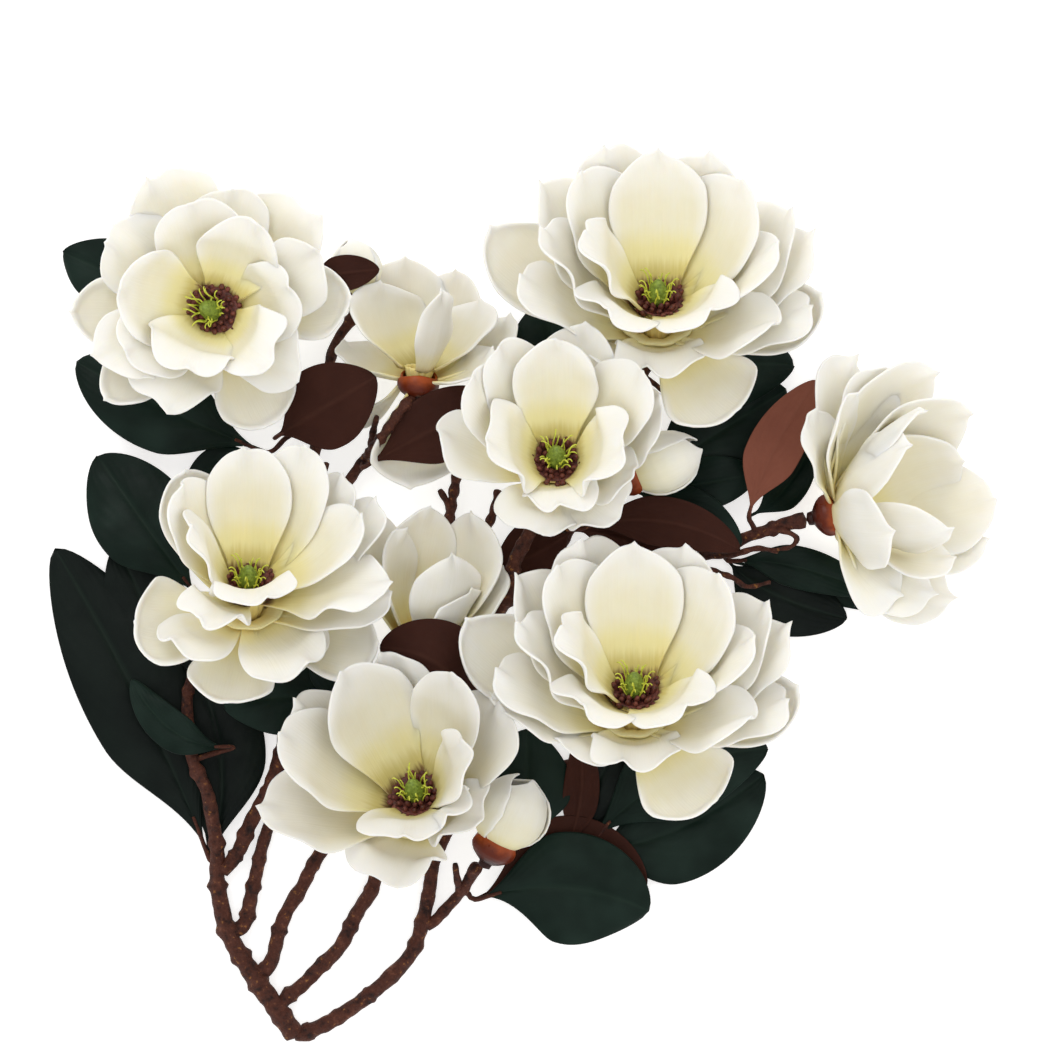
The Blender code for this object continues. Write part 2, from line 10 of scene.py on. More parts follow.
import bpy
import numpy as np
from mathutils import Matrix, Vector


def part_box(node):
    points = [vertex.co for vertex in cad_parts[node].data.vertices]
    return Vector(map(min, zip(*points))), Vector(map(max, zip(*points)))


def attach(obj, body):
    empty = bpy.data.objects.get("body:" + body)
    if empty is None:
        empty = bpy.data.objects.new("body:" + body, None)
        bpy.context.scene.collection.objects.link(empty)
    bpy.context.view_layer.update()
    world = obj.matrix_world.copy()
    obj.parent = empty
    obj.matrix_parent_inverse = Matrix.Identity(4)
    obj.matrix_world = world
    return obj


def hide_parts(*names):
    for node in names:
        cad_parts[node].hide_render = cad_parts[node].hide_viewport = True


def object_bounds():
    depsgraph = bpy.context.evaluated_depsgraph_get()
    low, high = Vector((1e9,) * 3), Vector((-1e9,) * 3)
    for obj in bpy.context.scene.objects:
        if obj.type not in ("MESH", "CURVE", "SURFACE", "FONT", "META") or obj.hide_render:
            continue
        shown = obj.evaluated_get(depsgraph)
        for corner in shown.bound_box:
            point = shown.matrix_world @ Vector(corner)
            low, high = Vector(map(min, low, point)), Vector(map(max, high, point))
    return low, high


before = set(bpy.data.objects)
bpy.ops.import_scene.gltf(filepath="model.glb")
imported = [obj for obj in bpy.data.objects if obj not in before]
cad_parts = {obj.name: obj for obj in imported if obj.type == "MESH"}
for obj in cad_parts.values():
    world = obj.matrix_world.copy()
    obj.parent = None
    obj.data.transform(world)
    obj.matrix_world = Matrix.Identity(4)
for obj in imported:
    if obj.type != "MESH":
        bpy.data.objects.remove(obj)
cad_low, cad_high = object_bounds()

# --- where the plan lies
ANCHOR_PLAN = (-201.6, 138.3)        # the middle of bloom 1's centre on the plan
_low, _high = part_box("bloom_1_centre")
SHIFT = np.array([
    (_low.x + _high.x) / 2 - ANCHOR_PLAN[0] / 1000,
    (_low.y + _high.y) / 2 - ANCHOR_PLAN[1] / 1000,
    0.0,
])


def plan(x, y, z):
    return np.array([x, y, z], float) / 1000 + SHIFT


# --- tables
# The kinds of petal: half-width at the claw, place of the widest, half-width at the end; drop,
# squareness, roundness and cusp of the tip's outline; cup, outward start and inward end in
# degrees; band, rim, wave and foot radius in mm; roll.
IN = (.44, .6, .6, .22, 3, 1.6, .095, 44, 22, 26, 8, -1.8, 1.6, 11, 4)
MID = (.4, .64, .64, .16, 3.6, 1.4, .095, 32, 14, 26, 9, -2.6, 3.6, 10, 5)
SPOON = (.28, .66, .66, .26, 2.8, 1.6, .05, 34, 12, 28, 12, 4.6, .8, 9, 0)
FRONT = (.44, .62, .62, .14, 3.4, 1.4, .1, 40, 14, 16, 9, -3.2, 5, 11, 3)
BACK = (.4, .6, .6, .22, 3, 1.6, .062, 42, 24, 34, 7, -1.2, 1.8, 8, 0)

# A bloom: base, axis, rise of the inner ring along the axis, inner petals, outer petals.
# A petal: kind, x, y and z of its tip from the base, width, lip, apex, roll, tier outwards.
BLOOMS = {
    1: ((-201, 138, 38), (-.04, .02, 1), 10, [
        (IN, -11, 65, 50, 54, 7, .25, 0, 1), (IN, 24, 56, 60, 50, 8, -.5, 6),
        (IN, -59, 13, 62, 58, 4, 0, -4), (IN, -52, -25, 50, 50, 9, -.3, 6, 1),
        (FRONT, -21, -35, 60, 52, 12, .4), (FRONT, 33, -30, 58, 46, 11, -.4, 6),
        (IN, 48, 9, 50, 48, 8, .4, 8, 1),
    ], [
        (MID, -34, 88, 30, 56, 3, .8, 4), (MID, 10, 73, 36, 48, 6, -.2, 0, 1),
        (MID, 58, 67, 28, 58, 3, -.9, -6), (MID, -63, 48, 32, 50, 5, .6, 0, 1),
        (FRONT, -71, -28, 34, 48, 9, -.3, 4), (FRONT, -33, -54, 36, 50, 11, .6, -6, 1),
        (MID, 64, 28, 40, 46, 10, .5, 14, 1), (FRONT, 51, -36, 36, 46, 10, -.6, 6),
        (SPOON, -96, 0, 18, 48), (SPOON, -74, -58, 16, 42, 0, .3, 6),
        (SPOON, 37, -77, 16, 54, 0, -.4), (SPOON, 91, 8, 18, 50, 0, .1, -4),
    ]),
    2: ((-180, -62, 34), (.02, .66, .75), 30, [
        (IN, 2, 109, 52, 50, 6, .3), (IN, 36, 107, 54, 44, 7, -.2, 6, 1),
        (IN, 73, 66, 66, 44, 7, -.3, 8), (FRONT, 83, 26, 70, 44, 9, 0, 4, 1),
        (FRONT, 8, 16, 86, 50, 15, .3), (FRONT, -25, 7, 78, 38, 11, .3, -8, 1),
        (FRONT, -34, 60, 78, 36, 9, .4, -10), (IN, -38, 84, 66, 46, 5, .2, -6, 1),
    ], [
        (MID, 62, 89, 40, 38, 5), (MID, 81, 71, 48, 40, 6, .3, 6, 1),
        (MID, 89, 18, 50, 46, 8, -.3, 4), (MID, -42, -12, 56, 42, 8, -.4, 0, 1),
        (MID, 34, -30, 54, 54, 9, .4), (SPOON, -42, 99, 34, 52, 0, 0, -20),
        (SPOON, -77, 0, 40, 62, 0, .3, -32), (SPOON, -14, -58, 38, 58, 0, .2),
        (SPOON, 88, -20, 32, 56, 0, .2, 24), (MID, 42, -24, 34, 44, 4),
    ]),
    3: ((-69, 92, 34), (.08, .97, .2), 8, [
        (BACK, -28, 65, -4, 66, 2, 0, -18), (BACK, 43, 52, -2, 50, 4, .2, 22),
        (BACK, -9, 79, -22, 56, 2, 0, -6, 1), (BACK, 23, 71, -24, 42, 2, 0, 6, 1),
        (BACK, 16, 58, 38, 28, 2, 0, 26),
    ], [
        (BACK, -49, 26, -14, 48, 4, .2, -18), (BACK, 49, 20, 24, 34, 4, 0, 44),
        (BACK, 61, 42, -8, 42, 3, 0, 24), (SPOON, -5, -68, -12, 62, 0, -.2),
        (SPOON, -43, -32, -20, 30),
    ]),
    4: ((21, 30, 44), (0, .45, .89), 20, [
        (IN, -1, 86, 64, 50, 5), (IN, -32, 82, 60, 42, 7, .5, -4, 1),
        (IN, -49, 65, 62, 48, 7, .5, -6, 1), (FRONT, -41, 26, 68, 54, 9, .5, -8),
        (FRONT, 5, -13, 58, 42, 12, -.4, 0, 1), (FRONT, 40, 22, 68, 54, 9, -.5, 8),
        (IN, 50, 67, 62, 46, 7, -.5, 6, 1),
    ], [
        (MID, 16, 94, 44, 50, 5, -.2), (MID, -74, 29, 38, 44, 5), (FRONT, -15, -32, 36, 48, 9, .6),
        (FRONT, 35, -18, 40, 44, 9, -.6, 0, 1), (MID, 65, 47, 40, 46, 5, .3),
        (MID, 43, 6, 48, 36, 6, 0, 0, 1),
    ]),
    5: ((87, 120, 34), (0, .7, .71), 32, [
        (IN, 0, 118, 50, 58, 4), (IN, -44, 105, 56, 56, 6, .5, -4, 1),
        (IN, 49, 99, 60, 62, 6, -.4, 4, 1), (FRONT, -45, 67, 76, 44, 9, .4, -12),
        (FRONT, -32, 23, 83, 50, 9, .5, -8, 1), (FRONT, 35, 18, 83, 54, 10, -.4, 6),
        (IN, 75, 59, 70, 46, 8, -.2, 8),
    ], [
        (MID, -70, 99, 40, 58, 4, .5, -8), (MID, -32, 119, 40, 60, 3, .2, 0, 1),
        (MID, 31, 116, 40, 62, 3, -.2), (MID, 78, 80, 46, 58, 5, -.3, 6, 1),
        (MID, 96, 64, 38, 52, 5, 0, 12), (FRONT, -71, 69, 64, 46, 7, .4, -10),
        (MID, -83, 39, 54, 48, 8, .2, -12, 1), (MID, -45, -8, 42, 46, 6, -.4, -10),
        (FRONT, 1, -19, 56, 52, 12, -.6), (FRONT, 71, 10, 64, 46, 9, -.3, 8),
        (MID, 93, 19, 50, 40, 9, -.3, 12, 1), (SPOON, -111, 72, 34, 60, 0, 0, -34),
        (SPOON, 50, -53, 34, 70, 0, .4, 8), (SPOON, 109, 26, 34, 54, 0, .2, 30),
    ]),
    6: ((199, 6, 36), (.96, .2, .2), 8, [
        (BACK, 86, 36, -14, 60, 2), (BACK, 39, -10, 58, 48, 4, 0, -8, 2),
        (BACK, 49, 43, 50, 46, 3, 0, -6, 1), (BACK, 76, -10, 42, 48, 3, 0, 6),
        (BACK, 58, 67, 36, 42, 3, 0, -10), (BACK, 18, 74, 32, 40, 4, .2, -20, 1),
        (BACK, 79, -30, 14, 42, 3, 0, 40),
    ], [
        (MID, 14, 99, 6, 44, 3, 0, -48), (MID, 41, 91, 2, 48, 3, 0, -45),
        (BACK, 68, 88, -2, 60, 3, .3, -34, 1), (BACK, 90, 65, -6, 64, 2, .2, -16),
        (BACK, 105, 11, -10, 60, 3, -.2, 0, 1), (BACK, 101, -18, -14, 50, 3, 0, 12),
        (MID, 76, -56, -6, 46, 6, 0, 56, 1), (MID, 41, -53, 20, 44, 6, 0, 66),
        (MID, 63, -56, 8, 40, 5, .3, 70), (MID, -9, 61, 36, 42, 10, 0, -34),
    ]),
    7: ((-68, -80, 24), (.15, .95, .25), 2, [
        (BACK, -24, 83, 6, 48, 3, 0, -14, 1), (BACK, 6, 86, 4, 44, 2, 0, 0, 1),
        (BACK, 34, 84, 8, 54, 2, 0, 8, 1), (BACK, -11, 75, 16, 38, 3, 0, -30),
        (BACK, 55, 49, 6, 54, 4, 0, 20), (BACK, 22, 58, 32, 48, 3, 0, -6),
        (BACK, 34, 36, 22, 54, 3),
    ], []),
    9: ((-66, -192, 42), (-.15, .55, .82), 24, [
        (IN, -47, 97, 58, 58, 5, .5), (IN, 16, 91, 64, 44, 7, -.4, 4, 1),
        (FRONT, 26, 46, 74, 44, 8, .3, 10), (FRONT, 16, 6, 70, 40, 11, -.3, 4, 1),
        (FRONT, -16, -7, 75, 48, 12, .4), (IN, -86, 58, 62, 58, 7, .4, -6, 1),
    ], [
        (MID, -22, 104, 38, 48, 4, .4), (MID, -80, 76, 38, 48, 5, .2),
        (MID, -100, 11, 36, 56, 6, .3, -12), (FRONT, -24, -36, 34, 62, 10, .6),
        (FRONT, 34, 4, 46, 46, 9, -.4), (MID, 49, 74, 40, 54, 5, -.2),
    ]),
}
BLOOMS[8] = (                        # the same flower as bloom 5, with one petal more
    (71.5, -134.5, 40), *BLOOMS[5][1:4], BLOOMS[5][4] + [(MID, -85.5, 22.5, 40, 46, 7, .2, 0, 1)],
)

# base, tip, radius, petals: (turn, spread, lift, opening)
BUDS = {
    1: ((-108, 150, 20), (-113, 187, 21), 17.5,
        [(80, 80, 0, 0), (200, 80, .6, 0), (320, 80, 1.2, 0)]),
    2: ((68, 31, 42), (116, 50, 44), 20, [(70, 84, 0, 1), (190, 78, 1.0, 2), (300, 76, 1.8, 2)]),
    3: ((-20, -211, 40), (4, -165, 48), 24, [(60, 82, 0, 1), (178, 78, 1.2, 3), (290, 74, 2.0, 4)]),
}

# A leaf: base, middle, tip, width, and what shows: g green, k darker green, b the brown back.
LEAVES = {
    "bloom_1_left": [((-246, 150, 20), (-272, 164, 18), (-302, 178, 4), 44, "g")],
    "pair_under_bloom_1": [
        ((-168, 47, 20), (-236, 76, 22), (-294, 107, 5), 60, "g"),
        ((-168, 47, 20), (-196, 34, 14), (-222, 12, 6), 38, "g"),
    ],
    "brown_left": [((-163, 56, 30), (-133, 74, 48), (-96, 96, 60), 56, "b")],
    "bloom_2_upper": [((-212, -50, 18), (-248, 0, 24), (-279, 44, 7), 64, "g")],
    "pair_left": [
        ((-206, -220, 4), (-249, -122, 11), (-308, -16, 5), 72, "k"),
        ((-206, -222, 4), (-199, -150, 10), (-222, -84, 8), 60, "k"),
        ((-206, -220, 5), (-228, -110, 8), (-268, -14, 5), 74, "k"),
    ],
    "curled_left": [((-190, -146, 24), (-228, -136, 33), (-256, -102, 22), 26, "g")],
    "pair_bloom_9_upper": [
        ((-112, -120, 20), (-154, -113, 27), (-196, -120, 25), 50, "g"),
        ((-112, -120, 20), (-120, -98, 30), (-98, -78, 34), 42, "g"),
    ],
    "bud_1": [((-143, 158, 38), (-120, 163, 44), (-94, 166, 44), 24, "b")],
    "brown_middle": [((-105, 37, 28), (-58, 62, 50), (-17, 82, 44), 46, "b")],
    "bloom_4_back": [((16, 98, 12), (18, 122, 18), (12, 148, 18), 50, "g")],
    "bloom_5_right": [((94, 86, 18), (136, 102, 20), (176, 104, 5), 50, "g")],
    "group_right": [
        ((70, 22, 12), (124, 58, 11), (172, 88, 5), 58, "g"),
        ((70, 22, 12), (112, 26, 15), (154, 34, 12), 36, "g"),
        ((70, 22, 12), (106, 8, 25), (142, -14, 28), 34, "g"),
    ],
    "pair_far_right": [
        ((147, 5, 26), (162, 46, 34), (192, 94, 23), 36, "b"),
        ((147, 5, 26), (171, 23, 18), (188, 53, 7), 26, "g"),
    ],
    "group_middle": [
        ((32, -4, 34), (88, 2, 40), (141, -17, 38), 33, "b"),
        ((32, -4, 34), (10, -18, 20), (-18, -30, 12), 44, "b"),
        ((32, -4, 34), (70, -13, 24), (114, -37, 13), 38, "b"),
    ],
    "group_lower_right": [
        ((134, -24, 8), (178, -28, 17), (230, -46, 13), 28, "g"),
        ((134, -24, 8), (162, -45, 9), (212, -62, 5), 50, "k"),
        ((134, -24, 8), (200, -40, 6), (268, -56, 4), 24, "g"),
    ],
    "brown_bloom_7": [
        ((-36, -126, 30), (-52, -94, 64), (-93, -80, 55), 58, "b"),
        ((-38, -120, 22), (-24, -106, 22), (-8, -99, 17), 16, "b"),
    ],
    "bud_3": [
        ((2, -214, 9), (2, -176, 13), (2, -134, 12), 58, "g"),
        ((26, -216, 8), (37, -180, 14), (36, -136, 13), 24, "b"),
    ],
    "pair_bloom_8": [
        ((40, -212, 6), (98, -164, 22), (160, -147, 11), 60, "g"),
        ((40, -212, 6), (96, -202, 8), (157, -164, 5), 70, "g"),
        ((40, -212, 6), (46, -176, 8), (68, -136, 10), 46, "k"),
    ],
    "bottom": [
        ((-32, -246, 12), (26, -238, 20), (82, -254, 8), 74, "g"),
        ((-32, -246, 10), (24, -230, 14), (80, -240, 6), 78, "b"),
    ],
}

# Each stem: where it grows from, and (x, y, z, radius) along its centre line.
STEMS = {
    "main": (None, [
        (-150, -335, 8, 7.5), (-167, -311, 7.8, 7.3), (-188, -280, 7.2, 6.6),
        (-199, -248, 6.8, 6.2), (-202, -216, 7.2, 5.4), (-206, -180, 20, 4.8),
        (-217, -150, 22, 4.4), (-220, -110, 21, 4), (-204, -80, 22, 4), (-186, -68, 28, 4.6),
        (-181, -63, 33, 6),
    ]),
    "right_arm": ((-198, -228, 7), [
        (-191, -219, 6.5, 5.2), (-173, -186, 13, 5.4), (-161, -162, 15, 6.2), (-157, -132, 8, 5.4),
        (-150, -90, 6, 4.8), (-140, -20, 6, 4.4), (-138, 45, 6, 4), (-126, 108, 8, 3.6),
        (-112, 138, 16, 4), (-109, 149, 19, 6),
    ]),
    "bloom_1": ((-139, 56, 6), [
        (-142, 62, 6, 3.8), (-160, 84, 6, 3.8), (-184, 114, 8, 3.8), (-199, 134, 28, 4.2),
        (-201, 138, 37, 6.5),
    ]),
    "bloom_3": ((-138, 4, 6), [
        (-130, 10, 6, 3.6), (-117, 26, 10, 3.8), (-102, 44, 13, 4), (-83, 56, 22, 4),
        (-71, 66, 27, 4), (-69.6, 74, 29, 5),
    ]),
    "bloom_7": ((-192, -268, 7), [
        (-183, -261, 6, 5.4), (-177, -236, 6, 5), (-170, -208, 5.4, 4.6), (-163, -186, 4.6, 4),
        (-146, -164, 4.4, 4), (-86, -118, 6, 3.8), (-74, -96, 16, 4), (-69, -82, 23, 6),
    ]),
    "bloom_4": ((-176, -296, 7), [
        (-166, -288, 6, 5.2), (-160, -266, 6, 5.2), (-149, -242, 6, 5), (-126, -204, 6, 4.8),
        (-90, -150, 6, 4.6), (-46, -92, 6, 4.6), (-12, -50, 24, 5.6), (-4, -20, 32, 5),
        (16, 20, 36, 4.8), (20, 28, 42, 6.5),
    ]),
    "bloom_9": ((-162, -318, 7), [
        (-153, -308, 6, 5.2), (-124, -280, 6, 5.2), (-102, -244, 6, 5.2), (-90, -214, 12, 4.6),
        (-70, -198, 34, 4.6), (-66, -193, 41, 6.5),
    ]),
    "bloom_8": ((-150, -334, 8), [
        (-140, -332, 6.5, 5.8), (-104, -312, 6.2, 5.4), (-74, -280, 6, 5.2), (-62, -242, 6, 5),
        (-54, -208, 6, 4.6), (-30, -180, 6, 4.4), (30, -158, 6, 4.4), (56, -148, 18, 4.2),
        (70, -140, 33, 5), (71.5, -135, 39, 6.5),
    ]),
    "bloom_5": ((22, -18, 9), [
        (26, -10, 6, 4.4), (44, 30, 6, 4.4), (66, 76, 6, 4.8), (80, 104, 12, 4.6),
        (86, 116, 26, 5.4), (87, 120, 33, 6.5),
    ]),
    "bloom_6": ((52, -34, 5), [
        (60, -34, 5, 4), (96, -28, 5.5, 4), (122, -18, 10, 4.2), (148, -9, 18, 4.2),
        (168, -1, 28, 4.8), (174.5, .8, 30.7, 5.4), (183, 2.4, 32.4, 6),
    ]),
    "bud_3": ((-64, -264, 6), [
        (-57, -259, 6, 4), (-49, -250, 8, 4), (-38, -236, 16, 4), (-31, -224, 29, 5),
    ]),
}

# Short twigs and stubs of a stem, as points of (x, y, z, radius).
TWIGS = {
    "bloom_6": [
        [(158, -6, 26, 2.4), (168, -4, 32, 2.2), (178, -9, 32, 1.8), (174, -15, 31, 1.5),
         (162, -17, 30, 1.2)],
        [(108, -24, 8, 2.6), (122, -30, 22, 2.2), (136, -35, 28, 1.9), (146, -41, 28, 1.6),
         (161, -38, 26, 1.2)],
        [(118, -21, 10, 2.6), (136, -20, 26, 2.2), (152, -16, 30, 1.9), (166, -18, 28, 1.4)],
    ],
    "bloom_3": [
        [(-100, 46, 13, 2.8), (-99, 58, 30, 2.4), (-96, 70, 42, 1.8)],
        [(-104, 42, 13, 3.4), (-99, 49, 30, 3.4), (-90, 60, 46, 3.4), (-80, 74, 49, 3.6),
         (-71, 84, 40, 4.2)],
        [(-122, 20, 8, 3.4), (-131, 32, 16, 2.8), (-129, 40, 18, 2)],
    ],
    "bloom_4": [
        [(-18, -56, 16, 3.4), (-32, -28, 9, 3.2), (-20, 8, 16, 3), (-17, 22, 20, 2.4)],
        [(-50, -98, 6, 3.6), (-52, -50, 4.4, 3.6), (-50, -8, 4.4, 3.6), (-48, 10, 10, 3.6),
         (-45, 26, 17, 3.4), (-42, 48, 22, 3.2)],
        [(-48, 10, 11, 2.6), (-55, 22, 19, 2)],
    ],
    "bloom_8": [[(40, -156, 8, 3.6), (48, -150, 22, 3.2), (60, -120, 30, 2.6)]],
    "bud_3": [[(-42, -242, 12, 2.8), (-44, -230, 24, 2.4), (-45, -222, 28, 1.8)]],
}

# --- mesh helpers
LOWEST = .0001                       # nothing goes nearer to the surface than this


def unit(v):
    v = np.asarray(v, float)
    return v / max(np.linalg.norm(v), 1e-12)


def units(v):
    return v / np.maximum(np.linalg.norm(v, axis=-1, keepdims=True), 1e-12)


def smooth(x, a=0.0, b=1.0):
    t = np.clip((np.asarray(x, float) - a) / (b - a), 0, 1)
    return t * t * (3 - 2 * t)


def square_to(axis, guide):
    """Two directions square to the axis and to each other."""
    side = unit(np.cross(axis, guide))
    return side, np.cross(axis, side)


def spokes(side, up, angle):
    """Unit vectors at the angles, in the plane of side and up."""
    return side * np.cos(angle)[..., None] + up * np.sin(angle)[..., None]


def ring_faces(rings, sides, closed=False):
    """Quads between rings of points. In a closed loop, the last ring joins the first."""
    i, j = np.meshgrid(np.arange(rings if closed else rings - 1), np.arange(sides), indexing="ij")
    here, there, k = i * sides, (i + 1) % rings * sides, (j + 1) % sides
    return np.stack([here + j, here + k, there + k, there + j], -1).reshape(-1, 4)


def tube_faces(rings, sides):
    """The same, with a fan at each end to the two points that follow the rings."""
    j = np.arange(sides)
    k = (j + 1) % sides
    first, last_ring = np.full(sides, rings * sides), (rings - 1) * sides
    return np.concatenate([
        ring_faces(rings, sides),
        np.stack([first, first, k, j], -1),
        np.stack([first + 1, first + 1, last_ring + j, last_ring + k], -1),
    ])


def add_object(name, data):
    obj = bpy.data.objects.new(name, data)
    bpy.context.scene.collection.objects.link(obj)
    return obj


class Piece:
    """Gathers closed sheets and tubes into one mesh, with the numbers its materials read:
    map = (along, across, rim) and back = 0 on the upper face, 1 on the lower face."""

    def __init__(self):
        self.parts = []
        self.count = 0

    def add(self, points, faces, maps=None, backs=None, slot=0):
        maps = np.zeros((len(points), 3)) if maps is None else maps
        backs = np.zeros(len(points)) if backs is None else backs
        self.parts.append((points, faces + self.count, maps, backs, np.full(len(faces), slot)))
        self.count += len(points)

    def sheet(self, grid, half, maps, slot=0, flip=False):
        """A closed sheet: grid is (u, v, 3), half is half the thickness inside the border."""
        nu, nv = grid.shape[:2]
        normal = units(np.cross(np.gradient(grid, axis=0), np.gradient(grid, axis=1)))
        half[[0, -1], :] = 0
        half[:, [0, -1]] = 0
        lift = normal * half[..., None]
        inside = (nu - 2) * (nv - 2)
        front = np.arange(nu * nv).reshape(nu, nv)
        back = front.copy()
        back[1:-1, 1:-1] = nu * nv + np.arange(inside).reshape(nu - 2, nv - 2)
        points = np.concatenate([
            (grid + lift).reshape(-1, 3), (grid - lift)[1:-1, 1:-1].reshape(-1, 3),
        ])
        border = np.full((nu, nv), .5)
        border[1:-1, 1:-1] = 0
        backs = np.concatenate([border.ravel(), np.ones(inside)])
        if flip:
            backs = 1.0 - backs
        both = np.concatenate([maps.reshape(-1, 3), maps[1:-1, 1:-1].reshape(-1, 3)])
        above, below = (
            np.stack([f[:-1, :-1], f[1:, :-1], f[1:, 1:], f[:-1, 1:]], -1).reshape(-1, 4)
            for f in (front, back)
        )
        self.add(points, np.concatenate([above, below[:, ::-1]]), both, backs, slot)

    def tube(self, path, radii, sides, slot=0, rough=0.0, seed=0, along=0.0):
        """A closed tube along path, with bumps of the share rough of its radius."""
        n = len(path)
        ahead = units(np.gradient(path, axis=0))
        across = np.zeros_like(path)
        guide = np.array([0.0, 0.0, 1.0] if abs(ahead[0][2]) < 0.8 else [1.0, 0.0, 0.0])
        for i in range(n):
            guide = unit(guide - ahead[i] * guide.dot(ahead[i]))
            across[i] = guide
        other = np.cross(ahead, across)
        turn = np.arange(sides) / sides * math.tau
        bumps = np.ones((n, sides))
        if rough:
            steps = np.linalg.norm(np.diff(path, axis=0), axis=1)
            length = np.concatenate([[0], np.cumsum(steps)])
            s, a = np.meshgrid(length * 1000, turn, indexing="ij")
            bumps += rough * (
                np.sin(a * 3 + s * .16 + seed) * .5 + np.sin(a * 2 - s * .41 + seed * 2) * .4
                + np.sin(a * 5 + s * .9 + seed * 3) * .25 + np.sin(s * .63 + seed) * .45
            )
        rays = spokes(across[:, None], other[:, None], turn)
        rings = path[:, None] + rays * (radii[:, None] * bumps)[..., None]
        ends = [path[0] - ahead[0] * radii[0] * .35, path[-1] + ahead[-1] * radii[-1] * .35]
        points = np.concatenate([rings.reshape(-1, 3), ends])
        self.add(points, tube_faces(n, sides), np.full((len(points), 3), along), slot=slot)

    def build(self, name, materials, node, slot):
        points, faces, maps, backs, slots = map(np.concatenate, zip(*self.parts))
        points[:, 2] = np.maximum(points[:, 2], cad_low.z + LOWEST)
        faces = [tuple(dict.fromkeys(f)) for f in faces.tolist()]
        mesh = bpy.data.meshes.new(name)
        mesh.from_pydata(points.tolist(), [], faces)
        mesh.attributes.new("map", "FLOAT_VECTOR", "POINT").data.foreach_set(
            "vector", maps.astype(np.float32).ravel())
        mesh.attributes.new("back", "FLOAT", "POINT").data.foreach_set(
            "value", backs.astype(np.float32))
        for material in materials:
            mesh.materials.append(material)
        mesh.polygons.foreach_set("material_index", slots.astype(np.int32))
        mesh.shade_smooth()
        mesh.update()
        obj = add_object(name, mesh)
        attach(obj, "root")
        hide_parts(node)


def spline(rows, step):
    """Points about a step apart on a Catmull-Rom curve through the rows."""
    rows = np.asarray(rows, float)
    ends = np.concatenate([2 * rows[:1] - rows[1:2], rows, 2 * rows[-1:] - rows[-2:-1]])
    found = []
    for i in range(1, len(ends) - 2):
        a, b, c, d = ends[i - 1:i + 3]
        count = max(2, int(np.linalg.norm((c - b)[:3]) / step))
        for k in range(count):
            t = k / count
            found.append(.5 * (
                2 * b + (c - a) * t + (2 * a - 5 * b + 4 * c - d) * t * t
                + (3 * b - a - 3 * c + d) * t ** 3
            ))
    found.append(rows[-1])
    return np.array(found)


def spline_mm(points, step):
    """The same for points in metres, with the step in millimetres."""
    return spline(np.array(points) * 1000, step) / 1000


# --- petals
V_PETAL = np.concatenate([[-1, -.984, -.95, -.9], np.linspace(-.84, .84, 19), [.9, .95, .984, 1]])
U_PETAL = np.concatenate([np.linspace(0, .93, 31), [.955, .977, .991, 1]])
PETAL_THICK, BUD_THICK, LEAF_THICK = .0016, .0015, .0010
WIDTH_GAIN = 1.07                    # makes up for the width that the cup and the rim take
HANDLE_FOOT, HANDLE_TIP = .38, .36   # handles of the profile's Bezier curve, as shares of it
CLAW_ARC = 40                        # half the angle of the petal's curved foot, degrees
CUSP_WIDTH = .15                     # of half the petal's width
RIM_BLEND = 3                        # mm over which the side's rim turns into the tip's
GUIDE = (.3, 1.0, .1)                # where the pleats of the cup and the skirt start


def rounded(distance, thick):
    """Half the thickness at a distance from the border: a rounded edge."""
    near = np.clip(distance / (thick * .62), 0, 1)
    return thick / 2 * np.sqrt(np.maximum(0, 1 - (1 - near) ** 2))


